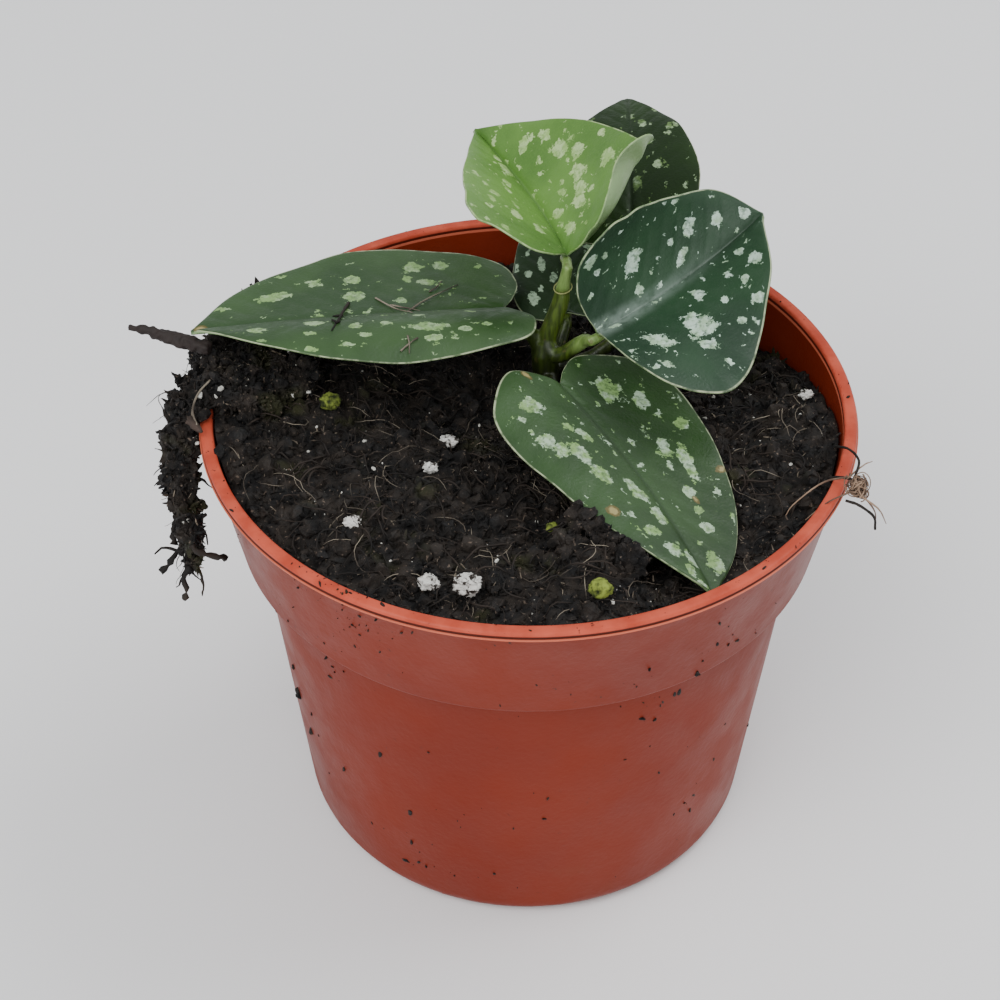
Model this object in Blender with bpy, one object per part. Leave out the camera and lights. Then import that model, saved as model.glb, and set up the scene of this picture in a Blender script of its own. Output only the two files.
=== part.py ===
"""Satin pothos growing in a small plastic nursery pot.

Metres, +Z up. The origin is the middle of the pot's flat underside, and the plant is seen from -Y.
"""

import math
from types import SimpleNamespace

import bmesh
import bpy
import numpy as np
from mathutils import Matrix, Vector, noise
from mathutils.bvhtree import BVHTree

MM = 0.001

# Pot, in millimetres
POT_HEIGHT = 93.0
LIP_RADIUS = 60.0
LIP_HEIGHT = 1.9
LIP_WIDTH = 2.7
COLLAR_TOP_RADIUS = 58.7
COLLAR_FOOT_RADIUS = 54.7
COLLAR_HEIGHT = 23.5
STEP_HEIGHT = 3.0
BODY_TOP_RADIUS = 51.0
BODY_FOOT_RADIUS = 44.7
FOOT_ROUNDING = 4.0
FOOT_RING_INNER = 36.0
BOSS_RADIUS = 11.0
FLOOR_RAISE = 2.0
WALL = 1.2
FLOOR = 1.5
DRAIN_HOLES = 6
DRAIN_RADIUS = 4.0
DRAIN_CIRCLE = 25.0
POT_SEGMENTS = 64

# Soil, in millimetres
GAP = 0.35
SOIL_LEVEL = 86.6
SOIL_FALL_BACK = 0.055
HEAP_LEVEL = POT_HEIGHT - 0.2
SOIL_BUMP = 1.5
LEAF_BED = ((8.0, -4.0), (33.0, -48.0))
SOIL_RINGS = 11
SOIL_SPOKES = 48

# Stem, in millimetres
CROWN = (3.6, 15.0)
STEM_RADIUS = 2.5
STEM_ROOT = 70.0
PETIOLE_SIDES = 10

# Leaves, in millimetres and degrees. base is where the blade meets its petiole; head, pitch and roll turn
# the midrib; bend drops its tip and sweep turns it sideways; fold and curl lift each half; lobe, belly and
# tip shape the heart outline; lean is how much wider the left half is than the right.
LEAF_THICKNESS = 0.8
LEAF_ROWS = 19
LEAF_COLUMNS = (0.0, 0.28, 0.54, 0.78, 1.0)
ROLLED_COLUMNS = (0.0, 0.3, 0.55, 0.68, 0.76, 0.84, 0.92, 1.0)
ROLL_ROWS = (0.05, 0.22, 0.36, 0.60)
WIDEN_ROWS = (0.05, 0.25, 0.36, 0.64)
ROLL_INNER, WIDEN = 0.68, 0.40
ROUND_TIP = 1.4
LEAVES = {
    "leaf_left": SimpleNamespace(
        base=(-4.7, 15.8, 102.3), head=190.3, pitch=5.0, bend=4.8, roll=18.8, sweep=0.0,
        length=57.5, width=40.0, lobe=0.08, belly=0.34, tip=1.2, lean=-0.14,
        fold=(16.0, 11.0), curl=(-60.0, 8.0), rollover=0.0, colour="leaf_dark"),
    "leaf_front": SimpleNamespace(
        base=(5.6, -0.6, 97.5), head=-50.8, pitch=-12.8, bend=-6.3, roll=-20.0, sweep=-20.0,
        length=53.2, width=40.3, lobe=0.10, belly=0.17, tip=1.1, lean=0.04,
        fold=(-2.0, 10.4), curl=(26.0, -38.0), rollover=0.0, colour="leaf_dark"),
    "leaf_right": SimpleNamespace(
        base=(12.7, 9.0, 102.1), head=40.8, pitch=-0.6, bend=-48.3, roll=16.5, sweep=-28.0,
        length=39.0, width=48.7, lobe=0.06, belly=0.29, tip=1.52, lean=-0.14,
        fold=(36.8, 28.5), curl=(59.0, -28.6), rollover=0.0, colour="leaf_dark"),
    "leaf_top": SimpleNamespace(
        base=(6.9, 17.4, 113.6), head=100.9, pitch=-11.0, bend=-20.5, roll=-0.5, sweep=21.5,
        length=46.7, width=44.1, lobe=0.14, belly=0.05, tip=0.96, lean=-0.09,
        fold=(31.5, 44.0), curl=(0.0, 4.0), rollover=190.0, colour="leaf_young"),
    "leaf_back": SimpleNamespace(
        base=(19.6, 32.8, 110.0), head=88.7, pitch=18.4, bend=33.2, roll=-5.8, sweep=0.0,
        length=42.4, width=29.4, lobe=0.12, belly=0.25, tip=0.82, lean=0.10,
        fold=(4.8, 6.9), curl=(-11.0, -11.0), rollover=0.0, colour="leaf_dark"),
    "leaf_inner": SimpleNamespace(
        base=(7.4, 23.8, 95.8), head=92.0, pitch=12.4, bend=10.7, roll=-3.7, sweep=6.4,
        length=32.2, width=22.8, lobe=0.07, belly=0.21, tip=1.05, lean=-0.13,
        fold=(6.4, 8.0), curl=(-13.4, -10.0), rollover=0.0, colour="leaf_dark"),
}

# Petioles: points from the crown to just short of the blade, and the radius at the crown, in millimetres
PETIOLES = {
    "leaf_top": (((3.2, 15.3, 92.0), (3.8, 15.5, 96.5), (5.0, 15.8, 100.2), (6.1, 16.2, 104.1),
                  (6.4, 16.4, 106.9)), 1.95),
    "leaf_right": (((3.6, 14.9, 95.2), (4.7, 13.5, 93.6), (6.6, 12.7, 94.1), (8.8, 12.0, 96.6),
                    (10.8, 10.9, 98.9)), 1.75),
    "leaf_left": (((3.2, 15.2, 91.0), (1.8, 15.4, 94.5), (-0.2, 15.6, 98.0)), 1.6),
    "leaf_front": (((3.9, 14.0, 88.0), (4.6, 8.0, 89.0), (5.2, 3.4, 92.0)), 1.6),
    "leaf_back": (((4.6, 16.4, 87.6), (13.0, 18.6, 89.4), (19.6, 23.0, 94.6), (21.0, 28.6, 102.4)), 1.5),
    "leaf_inner": (((4.2, 16.2, 87.0), (5.6, 18.6, 88.5), (6.6, 21.0, 91.4)), 1.4),
}
PETIOLE_TIP_RADIUS = 0.95
PETIOLE_UNDER_MIDRIB = 2.2

# Grains on the soil: (x, y, longest size), in millimetres
PERLITE = ((-17.0, -45.8, 3.6), (-10.8, -47.0, 5.4), (-17.6, -16.3, 2.8), (-14.6, -6.0, 3.2),
           (-30.6, -32.0, 3.0), (52.0, 7.5, 2.6))
MOSSY = ((-36.0, -1.0, 4.4), (11.3, -50.0, 4.6), (4.0, -29.5, 2.6))

# Heap of soil that has pushed over the lip at the left: (x, y, z, radius), in millimetres
SPILL = ((-44.0, 4.0, 93.2, 5.6), (-44.0, 13.0, 93.2, 5.6), (-44.0, 22.0, 93.0, 5.2), (-51.0, 0.0, 93.6, 6.0),
         (-51.5, 8.0, 94.0, 6.2), (-51.0, 16.0, 93.8, 6.0), (-48.0, 24.0, 93.4, 5.4), (-57.5, 1.5, 93.4, 5.8),
         (-57.0, 10.0, 93.8, 5.6), (-57.5, 6.5, 96.2, 3.8), (-54.5, 18.0, 93.4, 5.4), (-50.5, 26.5, 93.2, 5.0),
         (-61.5, -2.5, 91.8, 4.8), (-60.5, 6.0, 91.4, 4.0), (-63.2, -7.5, 88.6, 4.2), (-63.6, -11.0, 84.8, 3.7),
         (-63.0, -14.5, 81.2, 3.2), (-62.3, -17.6, 77.8, 2.7), (-61.8, -20.0, 74.6, 2.1), (-61.6, -21.8, 72.2, 1.9),
         (-65.2, -8.5, 83.6, 2.4), (-66.0, -9.2, 81.4, 1.9), (-60.4, -20.6, 80.0, 2.2), (-60.1, -22.7, 78.8, 1.9))

# Knot of roots on the lip at the right: (x, y, z, radius) of its lumps, in millimetres
TUFT = ((55.4, -23.5, 95.4, 1.9), (56.7, -25.9, 95.3, 2.1), (57.3, -28.2, 95.0, 1.8))
ROOTS = (((55.4, -23.4, 95.4), (51.0, -24.2, 94.4), (46.0, -27.0, 92.0)),
         ((57.0, -28.0, 95.0), (60.5, -30.5, 94.2), (62.6, -32.0, 91.6)),
         ((55.4, -23.6, 95.5), (58.8, -18.6, 95.4), (61.6, -15.4, 93.4)))

# Dry dark strip past the tip of the left leaf: its middle line and half width, in millimetres
DRY_STRIP = ((-58.0, 5.6, 101.6), (-61.5, 7.0, 101.6), (-65.5, 8.4, 101.8), (-70.0, 9.8, 102.4),
             (-73.5, 10.4, 102.6))
DRY_STRIP_RADII = (1.3, 1.5, 1.3, 1.0, 0.5)

# Colours (linear), roughness and metallic value
FINISHES = {
    "pot_plastic": ((0.42, 0.105, 0.052), 0.42),
    "soil": ((0.016, 0.012, 0.009), 0.95),
    "stem_green": ((0.16, 0.23, 0.03), 0.45),
    "leaf_dark": ((0.035, 0.085, 0.04), 0.5),
    "leaf_young": ((0.16, 0.33, 0.07), 0.45),
    "perlite": ((0.78, 0.77, 0.72), 0.9),
    "mossy_grain": ((0.16, 0.2, 0.04), 0.9),
    "dry_root": ((0.2, 0.13, 0.075), 0.9),
    "dry_sheath": ((0.03, 0.02, 0.016), 0.75),
}


def clear_scene():
    for old in list(bpy.data.objects):
        bpy.data.objects.remove(old, do_unlink=True)


def material(name):
    """The finish of that name, made once."""
    found = bpy.data.materials.get(name)
    if found:
        return found
    colour, rough = FINISHES[name]
    made = bpy.data.materials.new(name)
    made.use_nodes = True
    shader = made.node_tree.nodes["Principled BSDF"]
    shader.inputs["Base Color"].default_value = (*colour, 1.0)
    shader.inputs["Roughness"].default_value = rough
    shader.inputs["Metallic"].default_value = 0.0
    return made


def add_object(name, points_mm, faces, finish, smooth_below=None):
    """An object from points in millimetres and faces, with its normals turned outwards."""
    mesh = bpy.data.meshes.new(name)
    mesh.from_pydata([tuple(c * MM for c in p) for p in points_mm], [], faces)
    work = bmesh.new()
    work.from_mesh(mesh)
    bmesh.ops.recalc_face_normals(work, faces=work.faces)
    work.to_mesh(mesh)
    work.free()
    mesh.materials.append(material(finish))
    if smooth_below:
        mesh.shade_smooth()
        mesh.set_sharp_from_angle(angle=math.radians(smooth_below))
    made = bpy.data.objects.new(name, mesh)
    bpy.context.scene.collection.objects.link(made)
    return made


def as_cutter(obj):
    obj.hide_render = True
    obj.display_type = "WIRE"
    return obj


def apply_modifiers(obj):
    """The object's mesh becomes what its modifiers make of it."""
    graph = bpy.context.evaluated_depsgraph_get()
    graph.update()
    result = bpy.data.meshes.new_from_object(obj.evaluated_get(graph))
    obj.modifiers.clear()
    obj.data = result


def fuse(name, parts, finish):
    """One body from overlapping closed parts, by a Boolean union on a collection."""
    first, *others = parts
    group = bpy.data.collections.new(name + "_parts")
    bpy.context.scene.collection.children.link(group)
    for other in others:
        bpy.context.scene.collection.objects.unlink(other)
        group.objects.link(other)
    join = first.modifiers.new("union", "BOOLEAN")
    join.operation = "UNION"
    join.operand_type = "COLLECTION"
    join.collection = group
    join.solver = "EXACT"
    apply_modifiers(first)
    for other in others:
        bpy.data.objects.remove(other, do_unlink=True)
    bpy.data.collections.remove(group)
    first.name = name
    first.data.materials.clear()
    first.data.materials.append(material(finish))
    return first


def subtract(obj, cutter):
    cut = obj.modifiers.new("cut", "BOOLEAN")
    cut.operation = "DIFFERENCE"
    cut.object = cutter
    cut.solver = "EXACT"


def turned(profile, segments):
    """Points and faces of a profile of (radius, height) turned about Z. Its ends lie on the axis."""
    points, faces, rings = [], [], []
    for radius, height in profile:
        if radius == 0.0:
            rings.append([len(points)] * segments)
            points.append((0.0, 0.0, height))
            continue
        rings.append([len(points) + k for k in range(segments)])
        for k in range(segments):
            angle = 2 * math.pi * k / segments
            points.append((radius * math.cos(angle), radius * math.sin(angle), height))
    for low, high in zip(rings, rings[1:]):
        for k in range(segments):
            corners = (low[k], low[(k + 1) % segments], high[(k + 1) % segments], high[k])
            faces.append(tuple(dict.fromkeys(corners)))
    return points, faces


def arc(centre, radius, start, end, count):
    """Points of an arc in the profile's plane, angles in degrees."""
    found = []
    for angle in np.linspace(math.radians(start), math.radians(end), count):
        found.append((centre[0] + radius * math.cos(angle), centre[1] + radius * math.sin(angle)))
    return found


def wall_radius(height):
    """The pot's inner radius at a height above its floor."""
    step_foot = POT_HEIGHT - COLLAR_HEIGHT - STEP_HEIGHT
    collar_foot = POT_HEIGHT - COLLAR_HEIGHT
    heights = (FOOT_ROUNDING, step_foot, collar_foot, POT_HEIGHT)
    radii = (BODY_FOOT_RADIUS, BODY_TOP_RADIUS, COLLAR_FOOT_RADIUS, COLLAR_TOP_RADIUS)
    return float(np.interp(height, heights, radii)) - WALL


def pot_profile():
    """Underside, outer wall, lip and inner wall, from the axis round to the axis."""
    collar_foot = POT_HEIGHT - COLLAR_HEIGHT
    lip_foot = POT_HEIGHT - LIP_HEIGHT
    step_foot = collar_foot - STEP_HEIGHT
    inner_foot = BODY_FOOT_RADIUS - WALL
    floor_top = FLOOR_RAISE + FLOOR
    foot_arc = arc((BODY_FOOT_RADIUS - FOOT_ROUNDING, FOOT_ROUNDING), FOOT_ROUNDING, -90, 0, 5)
    outside = [(0.0, 0.0), (BOSS_RADIUS, 0.0), (BOSS_RADIUS + 1.5, FLOOR_RAISE)]
    outside += [(FOOT_RING_INNER - 1.2, FLOOR_RAISE), (FOOT_RING_INNER, 0.0)] + foot_arc
    outside += [(BODY_TOP_RADIUS, step_foot), (BODY_TOP_RADIUS + 0.5, step_foot + 0.9)]
    outside += [(COLLAR_FOOT_RADIUS - 0.7, collar_foot - 0.9), (COLLAR_FOOT_RADIUS, collar_foot)]
    outside += [(COLLAR_TOP_RADIUS, lip_foot), (LIP_RADIUS - 0.25, lip_foot + 0.1)]
    outside += [(LIP_RADIUS, lip_foot + 0.5), (LIP_RADIUS - 0.1, POT_HEIGHT - 0.5)]
    lip = arc((LIP_RADIUS - LIP_WIDTH / 2, POT_HEIGHT - 0.5), LIP_WIDTH / 2 - 0.15, 60, 120, 4)
    top = POT_HEIGHT
    peak = max(height for _, height in lip)
    lip = [(radius, height - peak + top) for radius, height in lip]
    inside = [(LIP_RADIUS - LIP_WIDTH, POT_HEIGHT - 0.6), (wall_radius(collar_foot), collar_foot)]
    inside += [(wall_radius(step_foot), step_foot), (inner_foot, FOOT_ROUNDING + 1.5)]
    inside += [(inner_foot - 2.0, floor_top), (0.0, floor_top)]
    return outside + lip + inside


def drain_cutter():
    """Short rods that pierce the pot's floor in a ring."""
    cutters = bmesh.new()
    for k in range(DRAIN_HOLES):
        angle = 2 * math.pi * (k + 0.5) / DRAIN_HOLES
        place = Matrix.Translation((DRAIN_CIRCLE * math.cos(angle) * MM, DRAIN_CIRCLE * math.sin(angle) * MM, 0))
        bmesh.ops.create_cone(cutters, cap_ends=True, segments=16, radius1=DRAIN_RADIUS * MM,
                              radius2=DRAIN_RADIUS * MM, depth=20 * MM, matrix=place)
    mesh = bpy.data.meshes.new("drain_cutter")
    cutters.to_mesh(mesh)
    cutters.free()
    made = bpy.data.objects.new("drain_cutter", mesh)
    bpy.context.scene.collection.objects.link(made)
    return as_cutter(made)


def make_pot():
    points, faces = turned(pot_profile(), POT_SEGMENTS)
    pot = add_object("pot", points, faces, "pot_plastic", smooth_below=40)
    subtract(pot, drain_cutter())
    return pot


def swell(x, y, middle, reach):
    """A round bump of height 1 at its middle."""
    return math.exp(-((x - middle[0]) / reach) ** 2 - ((y - middle[1]) / reach) ** 2)


def soil_height(x, y):
    """Height of the soil: it falls to the back, heaps up at the left and has a bed under the front leaf."""
    height = SOIL_LEVEL - SOIL_FALL_BACK * y
    height += 8.5 * swell(x, y, (-52, 6), 25) + 2.2 * swell(x, y, (-22, -24), 16)
    height += 2.6 * swell(x, y, (12, -52), 9) + 4.5 * swell(x, y, (11, -41), 7)
    height += 2.6 * swell(x, y, (56, -4), 17) - 5.0 * swell(x, y, (40, 36), 19) - 4.0 * swell(x, y, (-5, 7), 12)
    height -= 1.6 * swell(x, y, (38, -25), 10)
    start, end = (Vector(point) for point in LEAF_BED)
    share = (Vector((x, y)) - start).dot(end - start) / (end - start).length_squared
    aside = (Vector((x, y)) - start.lerp(end, min(max(share, 0.0), 1.0))).length
    height -= 3.8 * math.exp(-((aside / 11.0) ** 2))
    height += SOIL_BUMP * noise.noise(Vector((x / 9.0, y / 9.0, 3.0)))
    height += 0.6 * SOIL_BUMP * noise.noise(Vector((x / 4.0, y / 4.0, 9.0)))
    return min(height, HEAP_LEVEL)


def make_soil():
    """A plug that fits the pot's inside, with a lumpy top and a plain hole for the stem."""
    floor_top = FLOOR_RAISE + FLOOR + GAP
    step_foot = POT_HEIGHT - COLLAR_HEIGHT - STEP_HEIGHT
    side = [(0.0, floor_top), (BODY_FOOT_RADIUS - WALL - 3.0, floor_top)]
    levels = (FOOT_ROUNDING + 2.5, step_foot, step_foot + STEP_HEIGHT)
    side += [(wall_radius(height) - GAP, height) for height in levels]
    points, faces = turned(side, SOIL_SPOKES)
    last = len(points) - SOIL_SPOKES
    rim = [last + k for k in range(SOIL_SPOKES)]
    for ring in range(SOIL_RINGS, 0, -1):
        share = ring / SOIL_RINGS
        current = []
        for k in range(SOIL_SPOKES):
            angle = 2 * math.pi * k / SOIL_SPOKES
            reach = (wall_radius(POT_HEIGHT - 6.0) - GAP) * share
            height = soil_height(reach * math.cos(angle), reach * math.sin(angle))
            if ring == SOIL_RINGS:
                reach = wall_radius(height) - GAP
            current.append(len(points))
            points.append((reach * math.cos(angle), reach * math.sin(angle), height))
        for k in range(SOIL_SPOKES):
            after = (k + 1) % SOIL_SPOKES
            faces.append((rim[k], rim[after], current[k]))
            faces.append((rim[after], current[after], current[k]))
        rim = current
    middle = len(points)
    points.append((0.0, 0.0, soil_height(0.0, 0.0)))
    faces += [(rim[k], rim[(k + 1) % SOIL_SPOKES], middle) for k in range(SOIL_SPOKES)]
    soil = add_object("soil", points, faces, "soil", smooth_below=60)
    hole_ends = ((*CROWN, STEM_ROOT - 1.0), (*CROWN, POT_HEIGHT + 20))
    hole = tube("stem_hole", hole_ends, (STEM_RADIUS + GAP + 0.3,) * 2, 12, "soil")
    subtract(soil, as_cutter(hole))
    return soil


def catmull(points, count):
    """A smooth curve through the points, sampled evenly in its parameter."""
    knots = np.array(points, float)
    knots = np.vstack([2 * knots[0] - knots[1], knots, 2 * knots[-1] - knots[-2]])
    spans = len(knots) - 3
    at = np.linspace(0, spans, count)
    index = np.minimum(at.astype(int), spans - 1)
    t = (at - index)[:, None]
    p0, p1, p2, p3 = (knots[index + k] for k in range(4))
    bend, twist = 2 * p0 - 5 * p1 + 4 * p2 - p3, 3 * p1 - p0 - 3 * p2 + p3
    return 0.5 * (2 * p1 + (p2 - p0) * t + bend * t**2 + twist * t**3)


def tube(name, line, radii, sides, finish):
    """A closed round bar along a line of points, with a radius at each point."""
    line = np.array(line, float)
    tangents = np.gradient(line, axis=0)
    tangents /= np.linalg.norm(tangents, axis=1)[:, None]
    across = np.cross(tangents[0], (0.3, 1.0, 0.2))
    points, faces = [], []
    for centre, tangent, radius in zip(line, tangents, radii):
        across = across - tangent * (across @ tangent)
        across /= np.linalg.norm(across)
        other = np.cross(tangent, across)
        for k in range(sides):
            angle = 2 * math.pi * k / sides
            points.append(tuple(centre + radius * (math.cos(angle) * across + math.sin(angle) * other)))
    for ring in range(len(line) - 1):
        for k in range(sides):
            after = (k + 1) % sides
            a, b = ring * sides, (ring + 1) * sides
            faces.append((a + k, a + after, b + after, b + k))
    faces.append(tuple(range(sides)))
    faces.append(tuple(range((len(line) - 1) * sides, len(line) * sides)))
    return add_object(name, points, faces, finish, smooth_below=50)


def heart_outline(leaf, count):
    """Half of a heart-shaped leaf, from the notch round a lobe to the tip: along and across, as shares."""
    lobe, belly = leaf.lobe, leaf.belly
    knots = [(0, 0), (-0.62 * lobe, 0.20), (-lobe, 0.46), (0.02 - 0.55 * lobe, 0.77), (belly - 0.1, 0.975),
             (belly + 0.1, 0.985), (0.5 + 0.5 * belly, 0.66 + 0.1 * leaf.tip),
             (0.79 + 0.2 * belly, 0.04 + 0.36 * leaf.tip)]
    if leaf.tip > ROUND_TIP:
        knots.append((0.94, 0.26 * leaf.tip))
    return catmull(knots + [(1, 0)], count)


def midrib_frames(leaf, shares):
    """Point, side vector and upward normal of the midrib at shares of its length."""
    angles = (leaf.head, leaf.pitch, leaf.bend, leaf.roll, leaf.sweep)
    head, pitch, bend, roll, sweep = (math.radians(a) for a in angles)
    table = np.linspace(-0.3, 1.1, 120)
    ahead = np.clip(table, 0, None)
    rise, turn = pitch - bend * ahead, head + sweep * ahead
    tangent = np.stack([np.cos(rise) * np.cos(turn), np.cos(rise) * np.sin(turn), np.sin(rise)], -1)
    line = np.cumsum(tangent, axis=0) * (table[1] - table[0]) * leaf.length
    level = np.stack([-np.sin(turn), np.cos(turn), 0 * turn], -1)
    upright = np.cross(tangent, level)
    side = level * math.cos(roll) + upright * math.sin(roll)
    normal = upright * math.cos(roll) - level * math.sin(roll)

    def read(values):
        return np.stack([np.interp(shares, table, values[:, k]) for k in range(3)], -1)

    start = np.array([np.interp(0.0, table, line[:, k]) for k in range(3)])
    return read(line) - start + np.array(leaf.base), read(side), read(normal)


def plateau(rows, ends):
    """Rises from 0 to 1 and falls back, at shares of the way from the notch to the tip."""
    return np.interp(rows, ends, (0.0, 1.0, 1.0, 0.0))


def blade_points(leaf, along, across, edge, rolled, half):
    """Points of the blade at a distance along it (mm) and a share across. Each half lifts and may roll."""
    centre, side, normal = midrib_frames(leaf, along / leaf.length)
    left = half > 0
    reach = leaf.width / 2 * (1 + half * leaf.lean)
    fold, curl = math.radians(leaf.fold[0 if left else 1]), math.radians(leaf.curl[0 if left else 1])
    steps = 24
    out, up = np.zeros_like(across), np.zeros_like(across)
    for k in range(steps):
        t = across * (k + 0.5) / steps
        past = np.clip(t / np.maximum(edge, 1e-9) - ROLL_INNER, 0, 1) / (1 - ROLL_INNER)
        angle = fold + curl * t + rolled * past
        out += np.cos(angle) * across / steps * reach
        up += np.sin(angle) * across / steps * reach
    return centre + half * out[..., None] * side + up[..., None] * normal


def blade_side(leaf, half, columns):
    """A grid of points over one half of the blade, rows from the notch to the tip."""
    outline = heart_outline(leaf, LEAF_ROWS)
    middle = np.linspace(0, 1, LEAF_ROWS)
    q = np.array(columns)[None, :]
    along = (middle[:, None] * (1 - q) + outline[:, :1] * q) * leaf.length
    rolls = half < 0 and leaf.rollover > 0
    wider = 1 + WIDEN * rolls * plateau(middle, WIDEN_ROWS)[:, None]
    edge = np.repeat(outline[:, 1:] * wider, len(columns), axis=1)
    rolled = np.radians(leaf.rollover) * rolls * plateau(middle, ROLL_ROWS)[:, None]
    return blade_points(leaf, along, edge * q, edge, rolled, half)


def grid_normals(grid):
    """Unit normals of a grid of points."""
    rows = np.gradient(grid, axis=0)
    columns = np.gradient(grid, axis=1)
    normals = np.cross(rows, columns)
    return normals / np.maximum(np.linalg.norm(normals, axis=-1, keepdims=True), 1e-12)


def make_leaf(name, leaf):
    """A thin closed blade: two like skins of triangles joined round the margin."""
    columns = ROLLED_COLUMNS if leaf.rollover else LEAF_COLUMNS
    left, right = (blade_side(leaf, half, columns) for half in (1, -1))
    normal_left, normal_right = grid_normals(left), -grid_normals(right)
    _, _, upward = midrib_frames(leaf, np.array([0.0, 1.0]))
    spine = normal_left[:, 0] + normal_right[:, 0]
    spine /= np.maximum(np.linalg.norm(spine, axis=-1, keepdims=True), 1e-12)
    wide, last = len(columns), LEAF_ROWS - 1
    flat, normals, index = [], [], {}

    def add(key, point, normal):
        index[key] = len(flat)
        flat.append(point)
        normals.append(normal)

    add("notch", left[0, 0], upward[0])
    add("tip", left[last, 0], spine[last - 1])
    for i in range(1, last):
        add(("spine", i), left[i, 0], spine[i])
        for j in range(1, wide):
            add((1, i, j), left[i, j], normal_left[i, j])
            add((-1, i, j), right[i, j], normal_right[i, j])

    def at(half, i, j):
        if i == 0:
            return index["notch"]
        if i == last:
            return index["tip"]
        return index[("spine", i)] if j == 0 else index[(half, i, j)]

    triangles = []
    for half in (1, -1):
        for i in range(last):
            for j in range(wide - 1):
                a, b, c, d = at(half, i, j), at(half, i + 1, j), at(half, i + 1, j + 1), at(half, i, j + 1)
                for corners in ((a, b, c), (a, c, d)):
                    if len(set(corners)) == 3:
                        triangles.append(corners if half > 0 else corners[::-1])
    margin = [at(1, i, wide - 1) for i in range(LEAF_ROWS)]
    margin += [at(-1, i, wide - 1) for i in range(last - 1, 0, -1)]
    count = len(flat)
    flat, normals = np.array(flat), np.array(normals)
    signs = np.sign((normals * upward[0]).sum(-1).mean())
    half_thick = LEAF_THICKNESS / 2 * signs
    points = [tuple(p) for p in flat + normals * half_thick] + [tuple(p) for p in flat - normals * half_thick]
    faces = triangles + [tuple(k + count for k in reversed(t)) for t in triangles]
    for a, b in zip(margin, margin[1:] + margin[:1]):
        faces += [(a, b, b + count), (a, b + count, a + count)]
    return add_object(name, points, faces, leaf.colour, smooth_below=60)


def petiole_line(name):
    """A petiole's middle line, from the crown to a short seat under the start of the midrib."""
    leaf = LEAVES[name]
    knots, radius = PETIOLES[name]
    (notch, under), _, (up, _) = midrib_frames(leaf, np.array([0.0, PETIOLE_UNDER_MIDRIB / leaf.length]))
    drop = up * (LEAF_THICKNESS / 2 + GAP + PETIOLE_TIP_RADIUS)
    before = notch - (under - notch) * 0.4
    line = catmull([*knots, tuple(before - drop * 1.15), tuple(under - drop)], 12)
    sizes = (radius, radius * 0.8, 1.15, PETIOLE_TIP_RADIUS)
    radii = np.interp(np.linspace(0, 1, 12), (0, 0.62, 0.7, 1), sizes)
    return line, radii


def make_stem():
    """The root stock, the swollen crown and every petiole, grown as one body."""
    x, y = CROWN
    stock = ((x, y, STEM_ROOT), (x, y, 80.0), (x - 0.2, y, 88.0), (x - 0.3, y, 93.0), (x - 0.3, y + 0.1, 95.6))
    parts = [tube("stock", stock, (1.6, STEM_RADIUS, STEM_RADIUS, 2.7, 1.8), 14, "stem_green")]
    for name in PETIOLES:
        line, radii = petiole_line(name)
        parts.append(tube("petiole_" + name, line, radii, PETIOLE_SIDES, "stem_green"))
    return fuse("stem", parts, "stem_green")


def lump(name, centre, radii, seed, finish, detail=2, rough=0.18):
    """A rough rounded grain or clod."""
    ball = bmesh.new()
    bmesh.ops.create_icosphere(ball, subdivisions=detail, radius=1.0)
    for vert in ball.verts:
        direction = vert.co.normalized()
        swell = 1.0 + rough * noise.noise(direction * 1.7 + Vector((seed, 0.0, 0.0))) * 2
        vert.co = Vector(centre) * MM + Vector([direction[k] * radii[k] * swell * MM for k in range(3)])
    mesh = bpy.data.meshes.new(name)
    ball.to_mesh(mesh)
    ball.free()
    mesh.materials.append(material(finish))
    made = bpy.data.objects.new(name, mesh)
    bpy.context.scene.collection.objects.link(made)
    return made


def lower_onto(obj, ground):
    """Drops an object until it lies the usual gap above the one below it."""
    graph = bpy.context.evaluated_depsgraph_get()
    own, below = BVHTree.FromObject(obj, graph), BVHTree.FromObject(ground, graph)
    down, up = Vector((0, 0, -1)), Vector((0, 0, 1))
    clear = [vert.co.z - hit.z for vert in obj.data.vertices
             for hit in [below.ray_cast(vert.co, down)[0]] if hit]
    clear += [hit.z - vert.co.z for vert in ground.evaluated_get(graph).data.vertices
              for hit in [own.ray_cast(vert.co, up)[0]] if hit]
    for vert in obj.data.vertices:
        vert.co.z -= min(clear) - GAP * MM


def make_grains(soil):
    for group, places in (("perlite", PERLITE), ("mossy_grain", MOSSY)):
        for k, (x, y, size) in enumerate(places):
            radii = (size / 2, size * 0.4, size * 0.36)
            grain = lump(f"{group}_{k + 1}", (x, y, POT_HEIGHT + 20), radii, k * 3.1, group, rough=0.14)
            lower_onto(grain, soil)


def make_spill():
    """Clods that lie on the heap at the left, cross the lip and hang outside it."""
    clods = []
    for k, (x, y, z, radius) in enumerate(SPILL):
        clods.append(lump(f"clod_{k}", (x, y, z), (radius, radius, radius * 0.92), 5.0 + k, "soil", rough=0.2))
    spill = fuse("soil_spill", clods, "soil")
    outer = [(0.0, 20.0), (BODY_TOP_RADIUS, 20.0), (COLLAR_FOOT_RADIUS + GAP, POT_HEIGHT - COLLAR_HEIGHT - 1.0)]
    outer += [(COLLAR_TOP_RADIUS + GAP, POT_HEIGHT - LIP_HEIGHT - GAP), (LIP_RADIUS + GAP, POT_HEIGHT - LIP_HEIGHT)]
    outer += [(LIP_RADIUS + GAP, POT_HEIGHT + GAP), (0.0, POT_HEIGHT + GAP)]
    points, faces = turned(outer, POT_SEGMENTS)
    subtract(spill, as_cutter(add_object("spill_cutter", points, faces, "soil")))
    apply_modifiers(spill)
    return spill


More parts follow.
